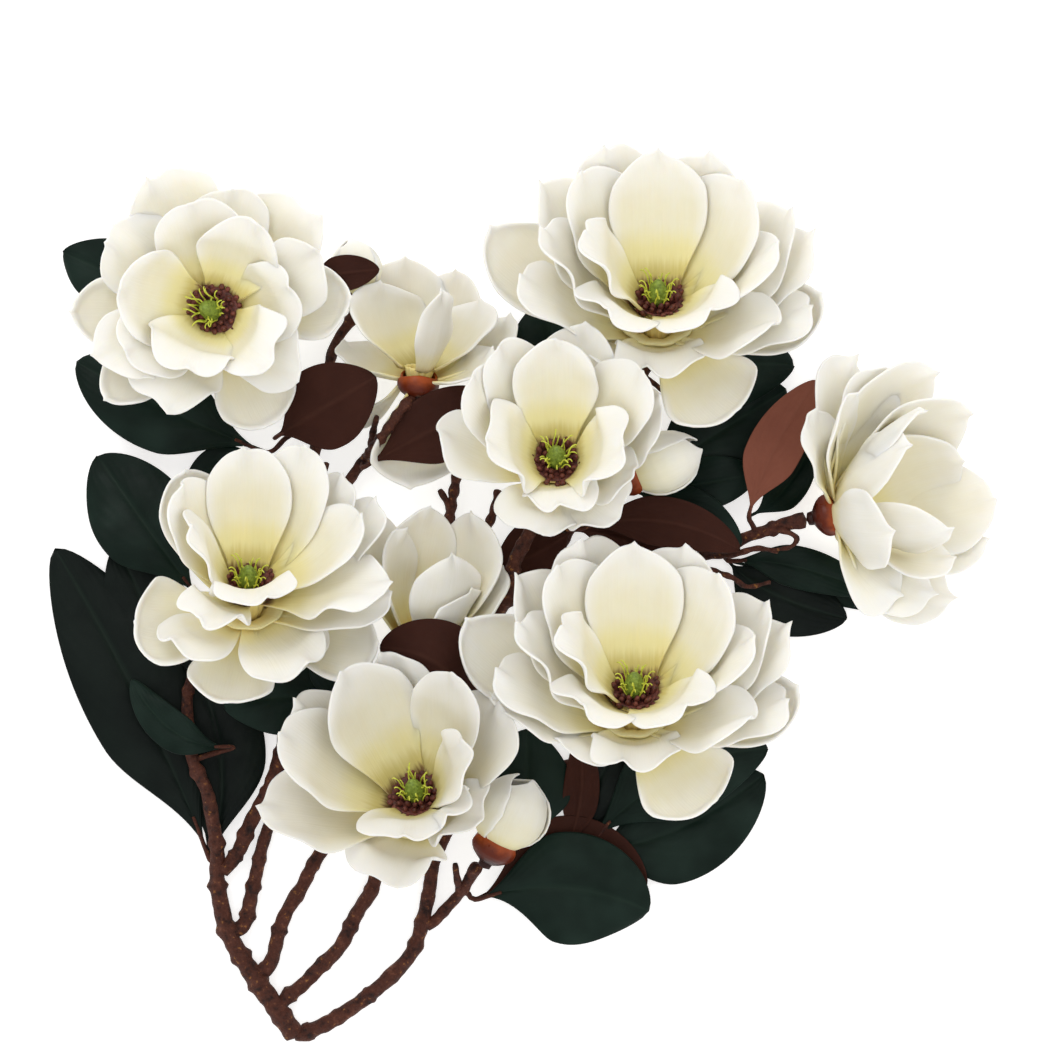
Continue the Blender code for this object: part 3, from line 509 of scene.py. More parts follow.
def petal(piece, bloom, start, axis, seed,
          kind, x, y, z, width, lip=0, apex=0, roll=0, tier=0):
    """A petal from the ring round start to its tip, bent along its length and cupped across."""
    (claw, peak, end, drop, square, round_, cusp, cup, out0, in1,
     band, rim, wave, foot, kind_roll) = kind
    pick = random.Random(seed)
    tip = plan(*np.add(bloom, (x, y, z)))
    reach = tip - start
    out = unit(reach - axis * reach.dot(axis))
    side = np.cross(axis, out)
    foot_point = start + out * (foot + 2.0 * tier) / 1000 - axis * tier * .0012

    # the profile: a Bezier curve in the plane of out and axis; the lip curls out beyond it
    def lean(point):
        return math.atan2((point - foot_point).dot(out), (point - foot_point).dot(axis))

    end_lean = lean(tip) - math.radians(in1)
    tip = tip + (axis * math.sin(end_lean) - out * math.cos(end_lean)) * lip / 1000 * .8
    chord = np.array([(tip - foot_point).dot(out), (tip - foot_point).dot(axis)])
    size = np.linalg.norm(chord)
    a0, a1 = lean(tip) + math.radians(out0), lean(tip) - math.radians(in1)
    p1 = size * HANDLE_FOOT * np.array([math.sin(a0), math.cos(a0)])
    p2 = chord - size * HANDLE_TIP * np.array([math.sin(a1), math.cos(a1)])

    # q runs from 0 at the foot to reachv at the outline of the tip
    u, v = np.meshgrid(U_PETAL, V_PETAL, indexing="ij")
    bent = np.clip(np.abs(v - apex * .35 * (1 - np.abs(v))), 0, 1)
    reachv = 1 - drop * (1 - (1 - bent ** square) ** (1 / round_))
    reachv = reachv + cusp * np.exp(-np.abs((v - apex * .6) / CUSP_WIDTH) ** 1.2)
    q = u * reachv
    qc = np.clip(q, 0, 1)
    c = qc[..., None]
    b = 3 * (1 - c) ** 2 * c * p1 + 3 * (1 - c) * c ** 2 * p2 + c ** 3 * chord
    d = units(3 * (1 - c) ** 2 * p1 + 6 * (1 - c) * c * (p2 - p1) + 3 * c ** 2 * (chord - p2))
    b = b + d * np.maximum(q - 1, 0)[..., None] * size
    spine = foot_point + b[..., :1] * out + b[..., 1:] * axis
    normal = d[..., :1] * axis - d[..., 1:] * out
    turn = np.radians((roll + kind_roll + pick.uniform(-3, 3)) * qc ** .8)
    across = spokes(side, normal, turn)
    normal = spokes(normal, -side, turn)

    # the width, and the arc that cups the petal across
    rising = np.clip(q / peak, 0, 1)
    falling = np.clip((q - peak) / (1 - peak), 0, 1)
    share = claw + (1 - claw) * np.sin(rising * math.pi / 2) ** 1.5 - (1 - end) * falling ** 2.2
    half_width = width * WIDTH_GAIN / 2000 * share
    flatter = 1 - .28 * min(tier, 1) + .06 * min(tier, 1) * qc
    phi = np.radians(CLAW_ARC + (cup * (1.1 - .4 * qc) - CLAW_ARC) * smooth(qc, 0, .45)) * flatter
    s = v * phi
    offset = half_width * np.sin(s) / np.sin(phi)
    lift = half_width * (1 - np.cos(s)) / np.sin(phi)
    local = spokes(normal, -across, s)

    # what lifts the surface off that arc, in mm: rolled rim, lip, waves and swells
    to_side = (1 - np.abs(v)) * half_width * 1000
    to_tip = (reachv - q) * size * 1000
    soft = -np.log(np.exp(-to_side / RIM_BLEND) + np.exp(-to_tip / RIM_BLEND)) * RIM_BLEND
    rim_share = np.clip(1 - np.clip(soft, 0, None) / band, 0, 1)
    weight = smooth(q, .22, .55)
    bend = rim * (smooth(rim_share, .08, .85) if rim > 0 else rim_share ** 1.35) * weight
    bend = bend - lip * smooth(q, .66, 1.02) ** 1.6
    waves = wave * np.abs(v) ** 2.4 * smooth(q, .2, .8) * np.sin(
        math.tau * (q * pick.uniform(1.1, 1.8) + pick.random())
        + np.where(v > 0, pick.uniform(0, 6), 0))
    swell = sum(
        pick.uniform(.25, .6)
        * np.sin(q * pick.uniform(3, 8) + v * pick.uniform(-4, 4) + pick.uniform(0, 6))
        for _ in range(4)) * qc
    frill = .55 * wave * smooth(q, .62, 1) * np.sin(v * pick.uniform(3.5, 5.5) + pick.uniform(0, 6))
    beak = 2.6 * np.exp(-((v - apex * .6) / .20) ** 2) * smooth(q, .80, 1.03)
    ridge = .35 * np.exp(-(v / .07) ** 2) * (1 - smooth(q, .5, .9))
    bend = (bend + waves + swell + frill + beak - ridge) / 1000 - tier * (.0008 + .0026 * qc)
    grid = spine + across * offset[..., None] + normal * lift[..., None] + local * bend[..., None]

    near = np.minimum(np.minimum(to_side, to_tip), u * size * 1000) / 1000
    half = rounded(near, PETAL_THICK * (1 + .35 * (1 - qc)))
    maps = np.stack([q, v * half_width * 1000 / 10 + seed % 97, rim_share * weight], -1)
    piece.sheet(grid, half, maps)


def collar(axis, middle, radius, turn, along, across):
    """Points, faces and maps of a closed loop of rings round the axis."""
    rings = middle + spokes(*square_to(axis, GUIDE), turn) * radius[..., None]
    maps = np.zeros(rings.shape)
    maps[..., 0], maps[..., 1] = along, across
    faces = ring_faces(*radius.shape, closed=True)
    return rings.reshape(-1, 3), faces, maps.reshape(-1, 3)


def funnel(base, axis, rise):
    """The pleated yellow cup that the petals spring from."""
    turn = np.linspace(0, math.tau, 72, endpoint=False)
    h, a = np.meshgrid(np.linspace(-.002, rise + .003, 9), turn, indexing="ij")
    share = np.clip(h / max(rise, .008), 0, 1.2)
    flare = .0062 if rise > .009 else .0030
    radius = (.0060 + flare * share ** .7) + .0005 * np.sin(a * 13) * (.4 + share)
    h, share = (np.concatenate([part, part[::-1]]) for part in (h, share))
    return collar(axis, base + axis * h[..., None], np.concatenate([radius, radius[::-1] - .0012]),
                  turn, .04 + .10 * np.clip(share, 0, 1), np.arange(72) * .25)


# the skirt's rings: height as a share of the bloom's rise, and radius in mm
SKIRT = ((.10, 7.0), (.30, 9.5), (.45, 13.5), (.55, 19.0), (.62, 24.0),
         (.57, 24.5), (.48, 19.0), (.36, 13.0), (.20, 8.6), (.06, 6.0))


def skirt(base, axis, rise):
    """The yellow foot that closes the gap between the two rings of petals."""
    turn = np.arange(48) / 48 * math.tau
    height, radius = (column[:, None] for column in np.array(SKIRT).T)
    points, faces, maps = collar(
        axis, base + axis * (rise * height)[..., None], (radius + .5 * np.sin(turn * 9)) / 1000,
        turn, .06 + radius / 140, turn * 2.5)
    return points, faces[:, ::-1], maps


# --- the blooms' centres
# the dark dish's rings as radius and height; rows of stamens as radius, count, length, lean
DISH = ((.006, .0014), (.011, .0022), (.0152, .0050), (.0160, .0048), (.0118, .0002),
        (.006, -.0012))
DISH_TOP, DISH_BOTTOM, DISH_SIDES = .0012, -.0014, 24
STAMENS = ((.0080, 11, .0066, .10), (.0112, 14, .0070, .35), (.0145, 18, .0062, .60))
STAMEN_SHAPE = np.array([.9, 1.15, 1.25, 1.0, .5]) * .00150
STAMEN_STATIONS = np.array([0, .35, .7, .9, 1.0])[:, None]
CONE_FOOT, CONE_HEIGHT, CONE_RADIUS = .0015, .0200, .0068
CONE_RINGS, CONE_SIDES = 30, 36
CARPEL = .0006
THREADS = 20
THREAD_RADII = (.00062, .00036)
# a thread's points: outwards and upwards from the cone, and sideways
THREAD_PATH = ((.0022, .0042, .0008), (.0030, .0078, .0026), (.0048, .0098, .0042),
               (.0060, .0090, .0050))


def cone_radius(t):
    return CONE_RADIUS * math.sin(math.pi * min(1, .18 + .82 * t)) ** .55 * (1 - .25 * t)


def make_centre(number, start, axis):
    """Dish and stamens, the green cone, and its threads, in material slots 0, 1 and 2."""
    piece = Piece()
    pick = random.Random(100 + number % 3)
    side, up = square_to(axis, (.2, .1, 1.0) if abs(axis[2]) < .9 else (.1, 1.0, .0))
    origin = start + axis * .0012

    def ray_at(a):
        return side * math.cos(a) + up * math.sin(a)

    def place(r, a, h):
        return origin + ray_at(a) * r + axis * h

    turn = np.arange(DISH_SIDES) / DISH_SIDES * math.tau
    points = [place(r, a, h) for r, h in DISH for a in turn]
    points += [place(0, 0, DISH_TOP), place(0, 0, DISH_BOTTOM)]
    faces = tube_faces(len(DISH), DISH_SIDES)
    piece.add(np.array(points), np.roll(faces[:, ::-1], 1, axis=1))

    for radius, count, tall, lean in STAMENS:
        for k in range(count):
            a = (k + pick.uniform(-.25, .25)) / count * math.tau
            foot = place(radius, a, .0010)
            ray = unit(axis * math.cos(lean) + ray_at(a) * math.sin(lean)
                       + np.array([pick.uniform(-.15, .15) for _ in range(3)]))
            path = foot + ray * (tall * pick.uniform(.8, 1.15)) * STAMEN_STATIONS
            piece.tube(path, STAMEN_SHAPE * pick.uniform(.9, 1.15), 6)

    # the cone, with rows of small carpels; bloom 1's leans over
    tilt = unit(axis + (np.array([-.28, .10, 0]) if number == 1 else 0))
    points = []
    for t in np.linspace(0, 1, CONE_RINGS):
        for a in np.arange(CONE_SIDES) / CONE_SIDES * math.tau:
            bump = max(0.0, math.sin(a * 6 + t * 9) * math.sin(t * 26 + a)) ** .6
            r = cone_radius(t) + CARPEL * bump * (.05 < t < .93)
            points.append(origin + tilt * (CONE_FOOT + CONE_HEIGHT * t) + ray_at(a) * r)
    points += [origin, origin + tilt * (CONE_HEIGHT + .0021)]
    piece.add(np.array(points), tube_faces(CONE_RINGS, CONE_SIDES), slot=1)

    for k in range(THREADS):
        ray = ray_at(k * 2.4 + pick.uniform(-.3, .3))
        t = .02 + .62 * (k / THREADS)
        r = cone_radius(t)
        foot = origin + tilt * (CONE_FOOT + CONE_HEIGHT * t)
        cross = np.cross(tilt, ray)
        sway, long = pick.uniform(-1, 1), pick.uniform(.8, 1.3)
        path = [foot + ray * r * .8, foot + ray * (r + .0016 * long) + tilt * .0012] + [
            foot + ray * (r + outwards * long) + tilt * upwards * long + cross * sideways * sway
            for outwards, upwards, sideways in THREAD_PATH
        ]
        line = spline_mm(path, .9)
        piece.tube(line, np.linspace(*THREAD_RADII, len(line)), 6, 2)
    return piece


# --- buds, calyxes
# radius from the foot to the tip, as shares of the widest
BUD_SHAPE = (.22, .62, .86, .98, 1, .93, .78, .52, .12)
CUP_SHAPE = (.34, .62, .82, .95, 1, 1, .96, .89, .80)
# the scales of a calyx: turn and spread in degrees, lift in mm
BLOOM_SCALES = ((212, 74, 0), (328, 74, .4), (88, 82, 1.0))
BUD_SCALES = ((210, 74, 0), (325, 74, .5), (84, 80, 1.0))
SCALE_OPENING = .5
NECK_TONE = .08                      # the dark foot of the calyx's colours


def bud_petal(piece, base, axis, length, radius, row, seed, shape_of=BUD_SHAPE):
    """A petal wrapped round a bud: length and radius in metres, its row as in BUDS."""
    turn, spread, lift, opening = row
    side, down = square_to(axis, (0, 0, 1))
    u, v = np.meshgrid(U_PETAL, V_PETAL, indexing="ij")
    q = u * (1 - .16 * np.abs(v) ** 2.0)
    shape = np.interp(q, [0, .25, .5, .75, .9, 1], [.55, .9, 1, .92, .72, .5])
    a = math.radians(turn) + math.radians(spread) * v * shape
    r = radius * np.interp(q, np.linspace(0, 1, 9), shape_of)
    rim = np.clip(1 - (1 - np.abs(v)) * 6, 0, 1)
    r = r + (lift + opening * q ** 2 + rim * (.5 + opening * .25) * smooth(q, .2, .7)) / 1000
    grid = base + axis * (length * q)[..., None] + spokes(side, -down, a) * r[..., None]
    near = np.minimum((1 - np.abs(v)) * radius, (1 - u) * length * .8)
    tip = smooth(u, .85, 1)
    maps = np.stack([.18 + .82 * q, v * 2.2 + seed, np.clip(rim + tip, 0, 1)], -1)
    piece.sheet(grid, rounded(near, BUD_THICK), maps)


def make_calyx(base, axis, radius, length, scales, seed):
    """Overlapping scales behind a bud or a bloom, on a short knobbly neck."""
    piece = Piece()
    foot = base - axis * length
    for k, scale in enumerate(scales):
        bud_petal(piece, foot, axis, length * 1.22, radius, (*scale, SCALE_OPENING), seed + k,
                  CUP_SHAPE)
    neck = spline_mm([
        foot - axis * .004, foot, foot + axis * length * .35, foot + axis * length * .7,
    ], 1.5)
    radii = np.interp(np.arange(len(neck)), [0, 3, 6, 20], [.0042, .0048, .0050, radius * .8])
    piece.tube(neck, radii, 12, rough=.05, seed=seed, along=NECK_TONE)
    return piece


# --- leaves
HALF_LEAF = [.045, .1, .2, .34, .48, .62, .76, .88, .955, .985, 1]
V_LEAF = np.array([-v for v in HALF_LEAF[::-1]] + [0] + HALF_LEAF)
U_LEAF = np.concatenate([np.linspace(0, .95, 40), [.968, .985, 1]])
STALK_END = (6, 11)                  # the point of the midrib's grid where the stalk ends


def leaf(piece, row, seed):
    """One blade, from its row in LEAVES."""
    base, middle, tip = (plan(*p) for p in row[:3])
    width, face = row[3:]
    pick = random.Random(seed)
    pull = middle * 2 - (base + tip) * .5
    u, v = np.meshgrid(U_LEAF, V_LEAF, indexing="ij")
    t = u[..., None]
    spine = base * (1 - t) ** 2 + pull * (2 * t * (1 - t)) + tip * t ** 2
    ahead = units((pull - base) * (1 - t) + (tip - pull) * t)
    across = units(np.cross(ahead, [0.0, 0.0, 1.0]))
    normal = np.cross(across, ahead)
    length = np.linalg.norm(tip - base) * 1.02
    blade = np.clip((u - .05) / .95, 0, 1)
    share = np.sin(math.pi * blade ** 1.06) ** .62 * smooth(blade, -.12, .42)
    half_width = np.maximum(width / 2000 * share, .0011 * (1 - u * .6))
    arch = -.10 * v ** 2 * half_width * 2 + .16 * np.abs(v) * half_width
    wave = .0016 * np.abs(v) ** 2 * smooth(u, .1, .4) * np.sin(
        math.tau * (u * pick.uniform(1.2, 2.2) + pick.random()) + np.where(v > 0, 2.1, 0))
    veins = .00022 * np.sin((u * 15 - np.abs(v) * 2.6) * math.tau)
    veins = veins * np.abs(v) ** .5 * (1 - np.abs(v))
    midrib = -.0007 * np.exp(-(v * half_width / .0016) ** 2) * (1 - smooth(u, .6, 1))
    swell = .0020 * np.sin(u * pick.uniform(4, 7) + pick.uniform(0, 6)) * smooth(u, .1, .5)
    rise = (-1 if face == "b" else 1) * (arch + veins + midrib) + wave + swell
    grid = spine + across * (v * half_width)[..., None] + normal * rise[..., None]
    near = np.minimum((1 - np.abs(v)) * half_width, np.minimum(1 - u, u) * length)
    maps = np.stack([u * length * 10, np.zeros_like(u), np.abs(v)], -1)
    piece.sheet(grid[:, ::-1], rounded(near, LEAF_THICK)[:, ::-1], maps[:, ::-1],
                1 if face == "k" else 0, flip=face == "b")
    return base, spine[STALK_END]


def nearest_stem(point):
    """The point on the stems' centre lines that is nearest to a point."""
    lines = [spline(rows, 4)[:, :3] / 1000 + SHIFT for _, rows in STEMS.values()]
    line = np.concatenate(lines)
    return line[np.linalg.norm(line - point, axis=1).argmin()]


# --- materials
class Nodes:
    """A material's node tree, with a short call for each kind of node."""

    def __init__(self, name):
        self.material = bpy.data.materials.new(name)
        self.material.use_nodes = True
        self.tree = self.material.node_tree
        self.shader = self.tree.nodes["Principled BSDF"]

    def node(self, kind, **settings):
        made = self.tree.nodes.new(kind)
        for key, value in settings.items():
            if key in made.inputs:
                made.inputs[key].default_value = value
            else:
                setattr(made, key, value)
        return made

    def put(self, value, socket):
        """Links a socket to another, or sets it to a number or a colour."""
        if isinstance(value, tuple):
            socket.default_value = (*value, 1)
        elif isinstance(value, (int, float)):
            socket.default_value = value
        else:
            self.tree.links.new(value, socket)

    def map(self):
        """The along, across and rim numbers that Piece stores."""
        vector = self.node("ShaderNodeAttribute", attribute_name="map").outputs["Vector"]
        made = self.node("ShaderNodeSeparateXYZ")
        self.put(vector, made.inputs[0])
        return made.outputs

    def back(self):
        return self.node("ShaderNodeAttribute", attribute_name="back").outputs["Fac"]

    def join(self, x, y=0.0):
        made = self.node("ShaderNodeCombineXYZ")
        self.put(x, made.inputs[0])
        self.put(y, made.inputs[1])
        return made.outputs[0]

    def math(self, operation, *values):
        made = self.node("ShaderNodeMath", operation=operation)
        for socket, value in zip(made.inputs, values):
            self.put(value, socket)
        return made.outputs[0]

    def times(self, a, b):
        return self.math("MULTIPLY", a, b)

    def ramp(self, fac, stops, eased=True):
        """A colour ramp. A stop's colour may be one number, a grey."""
        made = self.node("ShaderNodeValToRGB")
        made.color_ramp.interpolation = "EASE" if eased else "LINEAR"
        elements = made.color_ramp.elements
        while len(elements) < len(stops):
            elements.new(.5)
        for element, (at, colour) in zip(elements, stops):
            element.position = at
            element.color = (*(colour if isinstance(colour, tuple) else (colour,) * 3), 1)
        self.put(fac, made.inputs[0])
        return made.outputs[0]

    def mix(self, fac, a, b, blend="MIX"):
        made = self.node("ShaderNodeMix", data_type="RGBA", blend_type=blend)
        for place, value in ((0, fac), (6, a), (7, b)):
            self.put(value, made.inputs[place])
        return made.outputs[2]

    def noise(self, scale, detail=4.0, rough=.55, at=None):
        """Noise at a vector, or where the point is on the object."""
        made = self.node("ShaderNodeTexNoise", Scale=scale, Detail=detail, Roughness=rough)
        place = self.node("ShaderNodeTexCoord").outputs["Object"] if at is None else at
        self.put(place, made.inputs["Vector"])
        return made.outputs[0]

    def bump(self, height, strength, distance, before=None):
        made = self.node("ShaderNodeBump", Strength=strength, Distance=distance)
        self.put(height, made.inputs["Height"])
        if before is not None:
            self.put(before, made.inputs["Normal"])
        return made.outputs[0]

    def finish(self, colour, rough=None, normal=None, **constants):
        for name, value in (("Base Color", colour), ("Roughness", rough), ("Normal", normal)):
            if value is not None:
                self.put(value, self.shader.inputs[name])
        for name, value in constants.items():
            self.shader.inputs[name.replace("_", " ")].default_value = value
        return self.material


def petal_material(name, front, back, rim_colour):
    """White, with yellow streaks that run out of the foot and a plain, lighter rim."""
    m = Nodes(name)
    along, across, rim = m.map()

    def streaks_of(scale, x, y):
        return m.noise(scale, 2.0, at=m.join(m.times(across, x), m.times(along, y)))

    streaks = streaks_of(2.0, 2.4, 1.3)
    shifted = m.math("ADD", along, m.times(m.math("SUBTRACT", streaks, .5), .11))
    colour = m.mix(m.back(), m.ramp(shifted, front), m.ramp(shifted, back))
    shade = m.ramp(streaks_of(1.0, 13.0, 2.4), [(.25, (.985, .982, .965)), (.75, 1.0)])
    inside = m.math("SUBTRACT", 1.0, rim)
    colour = m.mix(inside, colour, m.mix(1.0, colour, shade, "MULTIPLY"))
    cloud = m.ramp(m.noise(45.0, 2.0), [(.3, (.975, .965, .94)), (.7, 1.0)])
    colour = m.mix(1.0, colour, cloud, "MULTIPLY")
    colour = m.mix(m.times(m.math("POWER", rim, 1.2), .9), colour, rim_colour)
    normal = m.bump(m.times(inside, streaks_of(1.5, 5.0, 1.6)), .16, .0011)
    normal = m.bump(m.noise(900.0, 3.0), .05, .0003, normal)
    rough = m.ramp(m.noise(120.0, 3.0), [(.3, .50), (.7, .62)])
    return m.finish(colour, rough, normal, Specular_IOR_Level=.3, Subsurface_Weight=.30,
                    Subsurface_Radius=(1.0, .82, .55), Subsurface_Scale=.0045, Sheen_Weight=.05)


def leaf_material(name, deep, light, under_dark, under_light):
    """Satin green above with lighter patches, partly a random change of tone and partly painted
    sheen; felted brown below, with a paler midrib on both.
    """
    m = Nodes(name)
    along, _, edge = m.map()
    rib = m.ramp(edge, [(0, 1), (.05, .55), (.10, 0)])
    # the light end of these patches is painted sheen as well as a random change of tone
    top = m.ramp(m.noise(24.0, 2.0), [(.32, deep), (.70, light)])
    top = m.mix(m.times(rib, .20), top, (.020, .040, .026))
    felt = m.noise(300.0, 5.0, .7)
    under = m.mix(m.noise(26.0, 3.0), under_dark, under_light)
    under = m.mix(m.times(felt, .10), under, (.10, .045, .03))
    under = m.mix(m.times(rib, .12), under, (.12, .05, .032))
    side = m.ramp(m.back(), [(.35, 0), (.65, 1)], False)
    veins = m.node("ShaderNodeTexWave", Scale=1.6, Distortion=1.6, Detail=2.0)
    m.put(m.join(m.math("SUBTRACT", along, m.times(edge, .9))), veins.inputs["Vector"])
    height = m.math("ADD", m.times(veins.outputs[1], .35), m.times(m.noise(160.0, 3.0), .8))
    normal = m.bump(felt, .10, .0005, m.bump(height, .30, .0007))
    gloss = m.ramp(m.noise(60.0, 3.0), [(.3, .36), (.7, .50)])
    rough = m.mix(side, gloss, m.ramp(felt, [(.3, .68), (.7, .85)]))
    return m.finish(m.mix(side, top, under), rough, normal, Specular_IOR_Level=.10)


def bark_material(name, dark, mid, light, speck):
    m = Nodes(name)
    coarse = m.noise(150.0, 6.0, .65)
    fine = m.noise(520.0, 5.0, .7)
    colour = m.ramp(coarse, [(.30, dark), (.52, mid), (.74, light)])
    dots = m.ramp(m.noise(300.0, 2.0, .5), [(.65, 0), (.72, 1)], False)
    colour = m.mix(m.times(dots, .6), colour, speck)
    colour = m.mix(m.times(fine, .35), colour, (.020, .008, .006))
    normal = m.bump(m.math("ADD", coarse, m.times(fine, .5)), .9, .0022)
    rough = m.ramp(fine, [(.3, .50), (.7, .85)])
    return m.finish(colour, rough, normal, Specular_IOR_Level=.22)


def plain_material(name, stops, scale, rough_low, rough_high, bump, by_map=False, **more):
    """Clouded colours. With by_map, they run mainly from the foot of the piece to its tip."""
    m = Nodes(name)
    cloud = m.noise(scale, 4.0, .6)
    key = m.math("ADD", m.times(m.map()[0], .7), m.times(cloud, .3)) if by_map else cloud
    normal = m.bump(m.noise(scale * 4, 4.0, .6), bump, .0008)
    rough = m.ramp(cloud, [(.3, rough_low), (.7, rough_high)])
    return m.finish(m.ramp(key, stops), rough, normal, **more)


# the petals' colours from the foot to the tip, on the face and on the back
WHITE = (.88, .86, .81)
FRONT_IN = [(0, (.06, .022, .014)), (.05, (.22, .12, .04)), (.12, (.68, .58, .21)),
            (.26, (.86, .78, .42)), (.50, (.87, .82, .64)), (1.0, WHITE)]
FRONT_OUT = [(0, (.64, .42, .11)), (.10, (.84, .68, .26)), (.24, (.87, .79, .44)),
             (.46, (.88, .83, .64)), (.75, (.88, .85, .75)), (1.0, WHITE)]
FRONT_SIDE = [(0, (.50, .40, .10))] + FRONT_IN[3:]
BACKS = [(0, (.72, .60, .28)), (.16, (.80, .74, .49)), (.36, (.80, .77, .67)),
         (.65, (.80, .785, .73)), (1.0, (.84, .83, .79))]
SHADE, RIM_SHADE = .84, .92          # painted shade: bloom 9, bud 3 and bloom 3's inner petals, and their rims, are darkened by these shares


def petals_of(name, front):
    """The white material and a copy of it darkened as painted shade."""
    painted_shade_front, painted_shade_back = (
        [(at, tuple(SHADE * c for c in colour)) for at, colour in stops] for stops in (front, BACKS)
    )
    return (petal_material(f"petal_{name}_white", front, BACKS, WHITE),
            petal_material(f"petal_{name}_painted_shade", painted_shade_front, painted_shade_back,
                           tuple(RIM_SHADE * c for c in WHITE)))


PETAL_IN, PAINTED_SHADE_IN = petals_of("inner", FRONT_IN)
PETAL_OUT, PAINTED_SHADE_OUT = petals_of("outer", FRONT_OUT)
PETAL_SIDE, PAINTED_SHADE_SIDE = petals_of("side", FRONT_SIDE)
# bloom 3's inner petals and all of bloom 9 take the copies darkened as painted shade
PETALS = {3: (PAINTED_SHADE_SIDE, PETAL_OUT), 6: (PETAL_SIDE, PETAL_OUT), 9: (PAINTED_SHADE_IN, PAINTED_SHADE_OUT)}
# each leaf's second colour is the light end of its patches on top, partly painted sheen
LEAF = leaf_material("leaf_satin_green", (.002, .008, .005), (.0085, .020, .0145),
                     (.017, .0045, .003), (.052, .016, .010))
LEAF_DARK = leaf_material("leaf_black_green", (.0015, .004, .003), (.004, .008, .006),
                          (.012, .003, .002), (.028, .008, .005))
LEAF_PALE = leaf_material("leaf_light_brown", (.002, .008, .005), (.006, .017, .012),
                          (.16, .050, .032), (.235, .082, .052))
BARK = bark_material("bark_red_brown", (.014, .005, .004), (.080, .023, .013),
                     (.17, .058, .032), (.38, .16, .035))
CALYX = plain_material(
    "calyx_orange_brown", [(.25, (.022, .004, .002)), (.55, (.10, .013, .003)),
                           (.85, (.34, .062, .010))],
    140, .26, .38, .12, True, Specular_IOR_Level=.22)
STAMEN = plain_material("stamen_dark_red", [(.3, (.050, .010, .008)), (.7, (.20, .048, .034))],
                        400, .45, .7, .5)
CONE = plain_material("cone_green", [(.25, (.10, .15, .012)), (.75, (.26, .36, .05))],
                      500, .40, .6, .3)
THREAD = plain_material("thread_lime", [(.3, (.50, .56, .04)), (.7, (.70, .74, .10))],
                        700, .40, .6, .2)

# --- blooms and buds
OUTER_DEPTH, LOW_DEPTH = .30, .08    # where the outer petals spring, as shares of the rise
SKIRT_RISE = .015                    # a flatter bloom needs no skirt

for number in sorted(BLOOMS):
    bloom, axis, rise, inner_rows, outer_rows = BLOOMS[number]
    base, axis, rise = plan(*bloom), unit(axis), rise / 1000
    start = base + axis * rise
    inner, outer = Piece(), Piece()
    seed = 40 * (5 if number == 8 else number)
    for k, row in enumerate(inner_rows):
        petal(inner, bloom, start, axis, seed + k, *row)
    for k, row in enumerate(outer_rows, len(inner_rows)):
        depth = OUTER_DEPTH if row[0] in (MID, FRONT) else LOW_DEPTH
        petal(outer, bloom, base + (start - base) * depth, axis, seed + k, *row)
    (inner if number == 7 else outer).add(*funnel(base, axis, rise))
    if rise > SKIRT_RISE:
        outer.add(*skirt(base, axis, rise))
    name = f"bloom_{number}"
    if number == 7:
        inner.build(name + "_all_petals", [PETAL_OUT], name + "_petals", "petal_white")
        continue
    inside, outside = PETALS.get(number, (PETAL_IN, PETAL_OUT))
    inner.build(name + "_inner", [inside], name + "_inner_petals", "petal_white")
    outer.build(name + "_outer", [outside], name + "_outer_petals", "petal_white")
    if number in (3, 6):
        foot = base + axis * .004 + (0, 0, .004)
        calyx = make_calyx(foot, axis, .0120, .0140, BLOOM_SCALES, number)
        calyx.build(name + "_scales", [CALYX], name + "_calyx", "calyx_brown")
    else:
        centre = make_centre(number, start, axis)
        centre.build(name + "_heart", [STAMEN, CONE, THREAD], name + "_centre", "bloom_centre")

for number, (base, tip, radius, rows) in BUDS.items():
    base, tip = plan(*base), plan(*tip)
    axis = unit(tip - base)
    length, radius = np.linalg.norm(tip - base), radius / 1000
    name = f"bud_{number}"
    piece = Piece()
    for k, row in enumerate(rows):
        bud_petal(piece, base, axis, length * (1 - .02 * k), radius * (.94 - .02 * k), row,
                  number * 9 + k)
    # bud 3 takes the outer petals' copy darkened as painted shade
    look = PAINTED_SHADE_OUT if number == 3 else PETAL_OUT
    piece.build(name + "_closed", [look], name + "_petals", "petal_white")
    if number > 1:
        calyx = make_calyx(base + axis * .005, axis, radius * .56, .015, BUD_SCALES, number)
        calyx.build(name + "_scales", [CALYX], name + "_calyx", "calyx_brown")

# --- leaves and stems
for count, (name, rows) in enumerate(LEAVES.items()):
    piece = Piece()
    for k, row in enumerate(rows):
        base, after = leaf(piece, row, count * 5 + k)
        if k == 0:
            root = nearest_stem(base)
            middle = (root + base) / 2 - (0, 0, .001)
            line = spline_mm([root, middle, base, after], 2)
            piece.tube(line, np.linspace(.0021, .0011, len(line)), 8, 2, .08, count)
    look = LEAF_PALE if name == "pair_far_right" else LEAF
    slot = "leaf_brown" if rows[0][-1] == "b" else "leaf_green"
    piece.build(f"leaf_{name}_blades", [look, LEAF_DARK, BARK], f"leaf_{name}", slot)

STEM_STEP = 1.6                      # mm between the rings of a stem
STEM_SLIMMER = .9                    # the knots make up for it

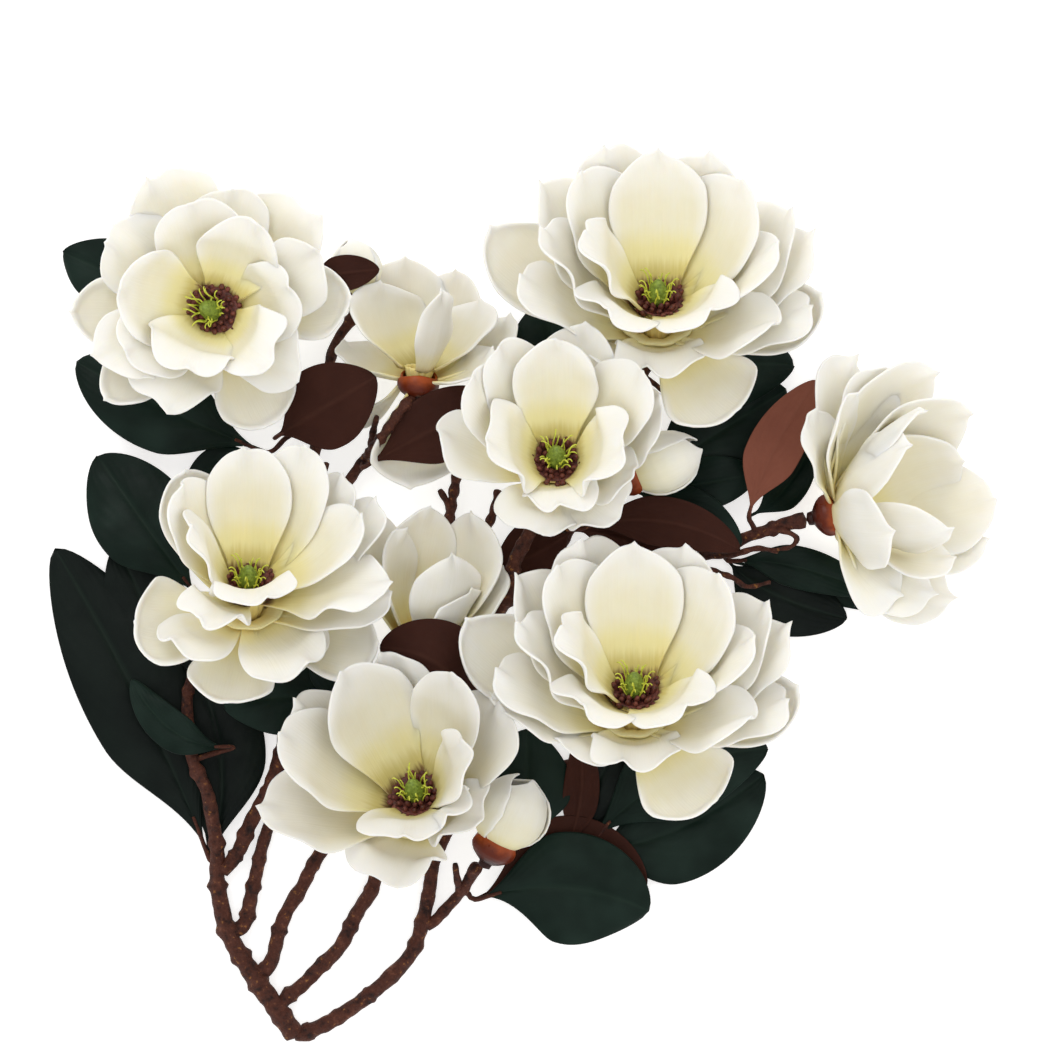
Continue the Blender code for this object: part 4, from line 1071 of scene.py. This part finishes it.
for count, (name, (root, rows)) in enumerate(STEMS.items()):
    piece = Piece()
    if root is not None:
        rows = [(*root, rows[0][3])] + rows
    line = spline(rows, STEM_STEP)
    pick = random.Random(count)
    s = np.arange(len(line)) * STEM_STEP
    ease = np.minimum(1, np.minimum(s, s[::-1]) / 25)
    for k, sway in enumerate((.7, .7, .3)):
        slow, fast = pick.uniform(0, 6), pick.uniform(0, 6)
        line[:, k] += sway * ease * (np.sin(s / 15 + slow) + .6 * np.sin(s / 6.3 + fast))
    radii = line[:, 3] * STEM_SLIMMER
    at = pick.uniform(8, 18)
    while at < s[-1] - 6:
        radii *= 1 + pick.uniform(.14, .34) * np.exp(-((s - at) / pick.uniform(1.8, 3.2)) ** 2)
        at += pick.uniform(14, 34)
    piece.tube(line[:, :3] / 1000 + SHIFT, radii / 1000, 14, 0, .075, count)
    for rows in TWIGS.get(name, ()):
        twig = spline(rows, 1.4)
        knots = 1 + .12 * np.sin(np.arange(len(twig)) * .9)
        piece.tube(twig[:, :3] / 1000 + SHIFT, twig[:, 3] / 1000 * knots, 10, 0, .08, len(rows))
    piece.build(f"stem_{name}_bark", [BARK], f"stem_{name}", "bark")

# --- floor, light, camera
FLOOR_HALF, FLOOR_GAP = 25, .0008
WORLD = .93
LIGHTS = (                           # name, place from the branch's middle, size, power
    ("key", (-.7, 1.1, 1.7), 1.0, 8.0),
    ("fill", (1.3, -.3, 1.5), 1.6, 2.5),
    ("top", (0, -.4, 2.2), 1.8, 3),
)
SENSOR = 36                          # mm
CAMERA_HEIGHT = 6.0
VIEW_HEIGHT, VIEW_WIDTH = .06, .6812    # the view is that wide at that height above the floor

mesh = bpy.data.meshes.new("floor")
corners = [(x * FLOOR_HALF, y * FLOOR_HALF, 0) for x, y in ((-1, -1), (1, -1), (1, 1), (-1, 1))]
mesh.from_pydata(corners, [], [(0, 1, 2, 3)])
floor = add_object("floor", mesh)
floor.location.z = cad_low.z - FLOOR_GAP
m = Nodes("floor_pale")
mesh.materials.append(m.finish(
    m.ramp(m.noise(3.0, 2.0), [(.2, .70), (.8, .73)]),
    Roughness=.9, Emission_Color=(1.0, .995, .985, 1), Emission_Strength=.62))

world = bpy.data.worlds.new("studio")
bpy.context.scene.world = world
world.use_nodes = True
back = next(n for n in world.node_tree.nodes if n.type == "BACKGROUND")
back.inputs[0].default_value = (1.0, 1.0, 1.0, 1)
back.inputs[1].default_value = WORLD

middle = (cad_low + cad_high) / 2
for name, place, size, power in LIGHTS:
    light = bpy.data.lights.new(name, "AREA")
    light.shape = "DISK"
    light.size = size
    light.energy = power
    obj = add_object(name, light)
    obj.location = (middle.x + place[0], middle.y + place[1], place[2])
    obj.rotation_euler = (middle - obj.location).to_track_quat("-Z", "Y").to_euler()

camera = bpy.data.cameras.new("camera")
obj = add_object("camera", camera)
obj.location = (SHIFT[0], SHIFT[1], CAMERA_HEIGHT)
camera.sensor_width = SENSOR
camera.lens = SENSOR * (CAMERA_HEIGHT - VIEW_HEIGHT) / VIEW_WIDTH
camera.clip_start, camera.clip_end = .1, 60
bpy.context.scene.camera = obj
bpy.context.scene.view_settings.view_transform = "Standard"
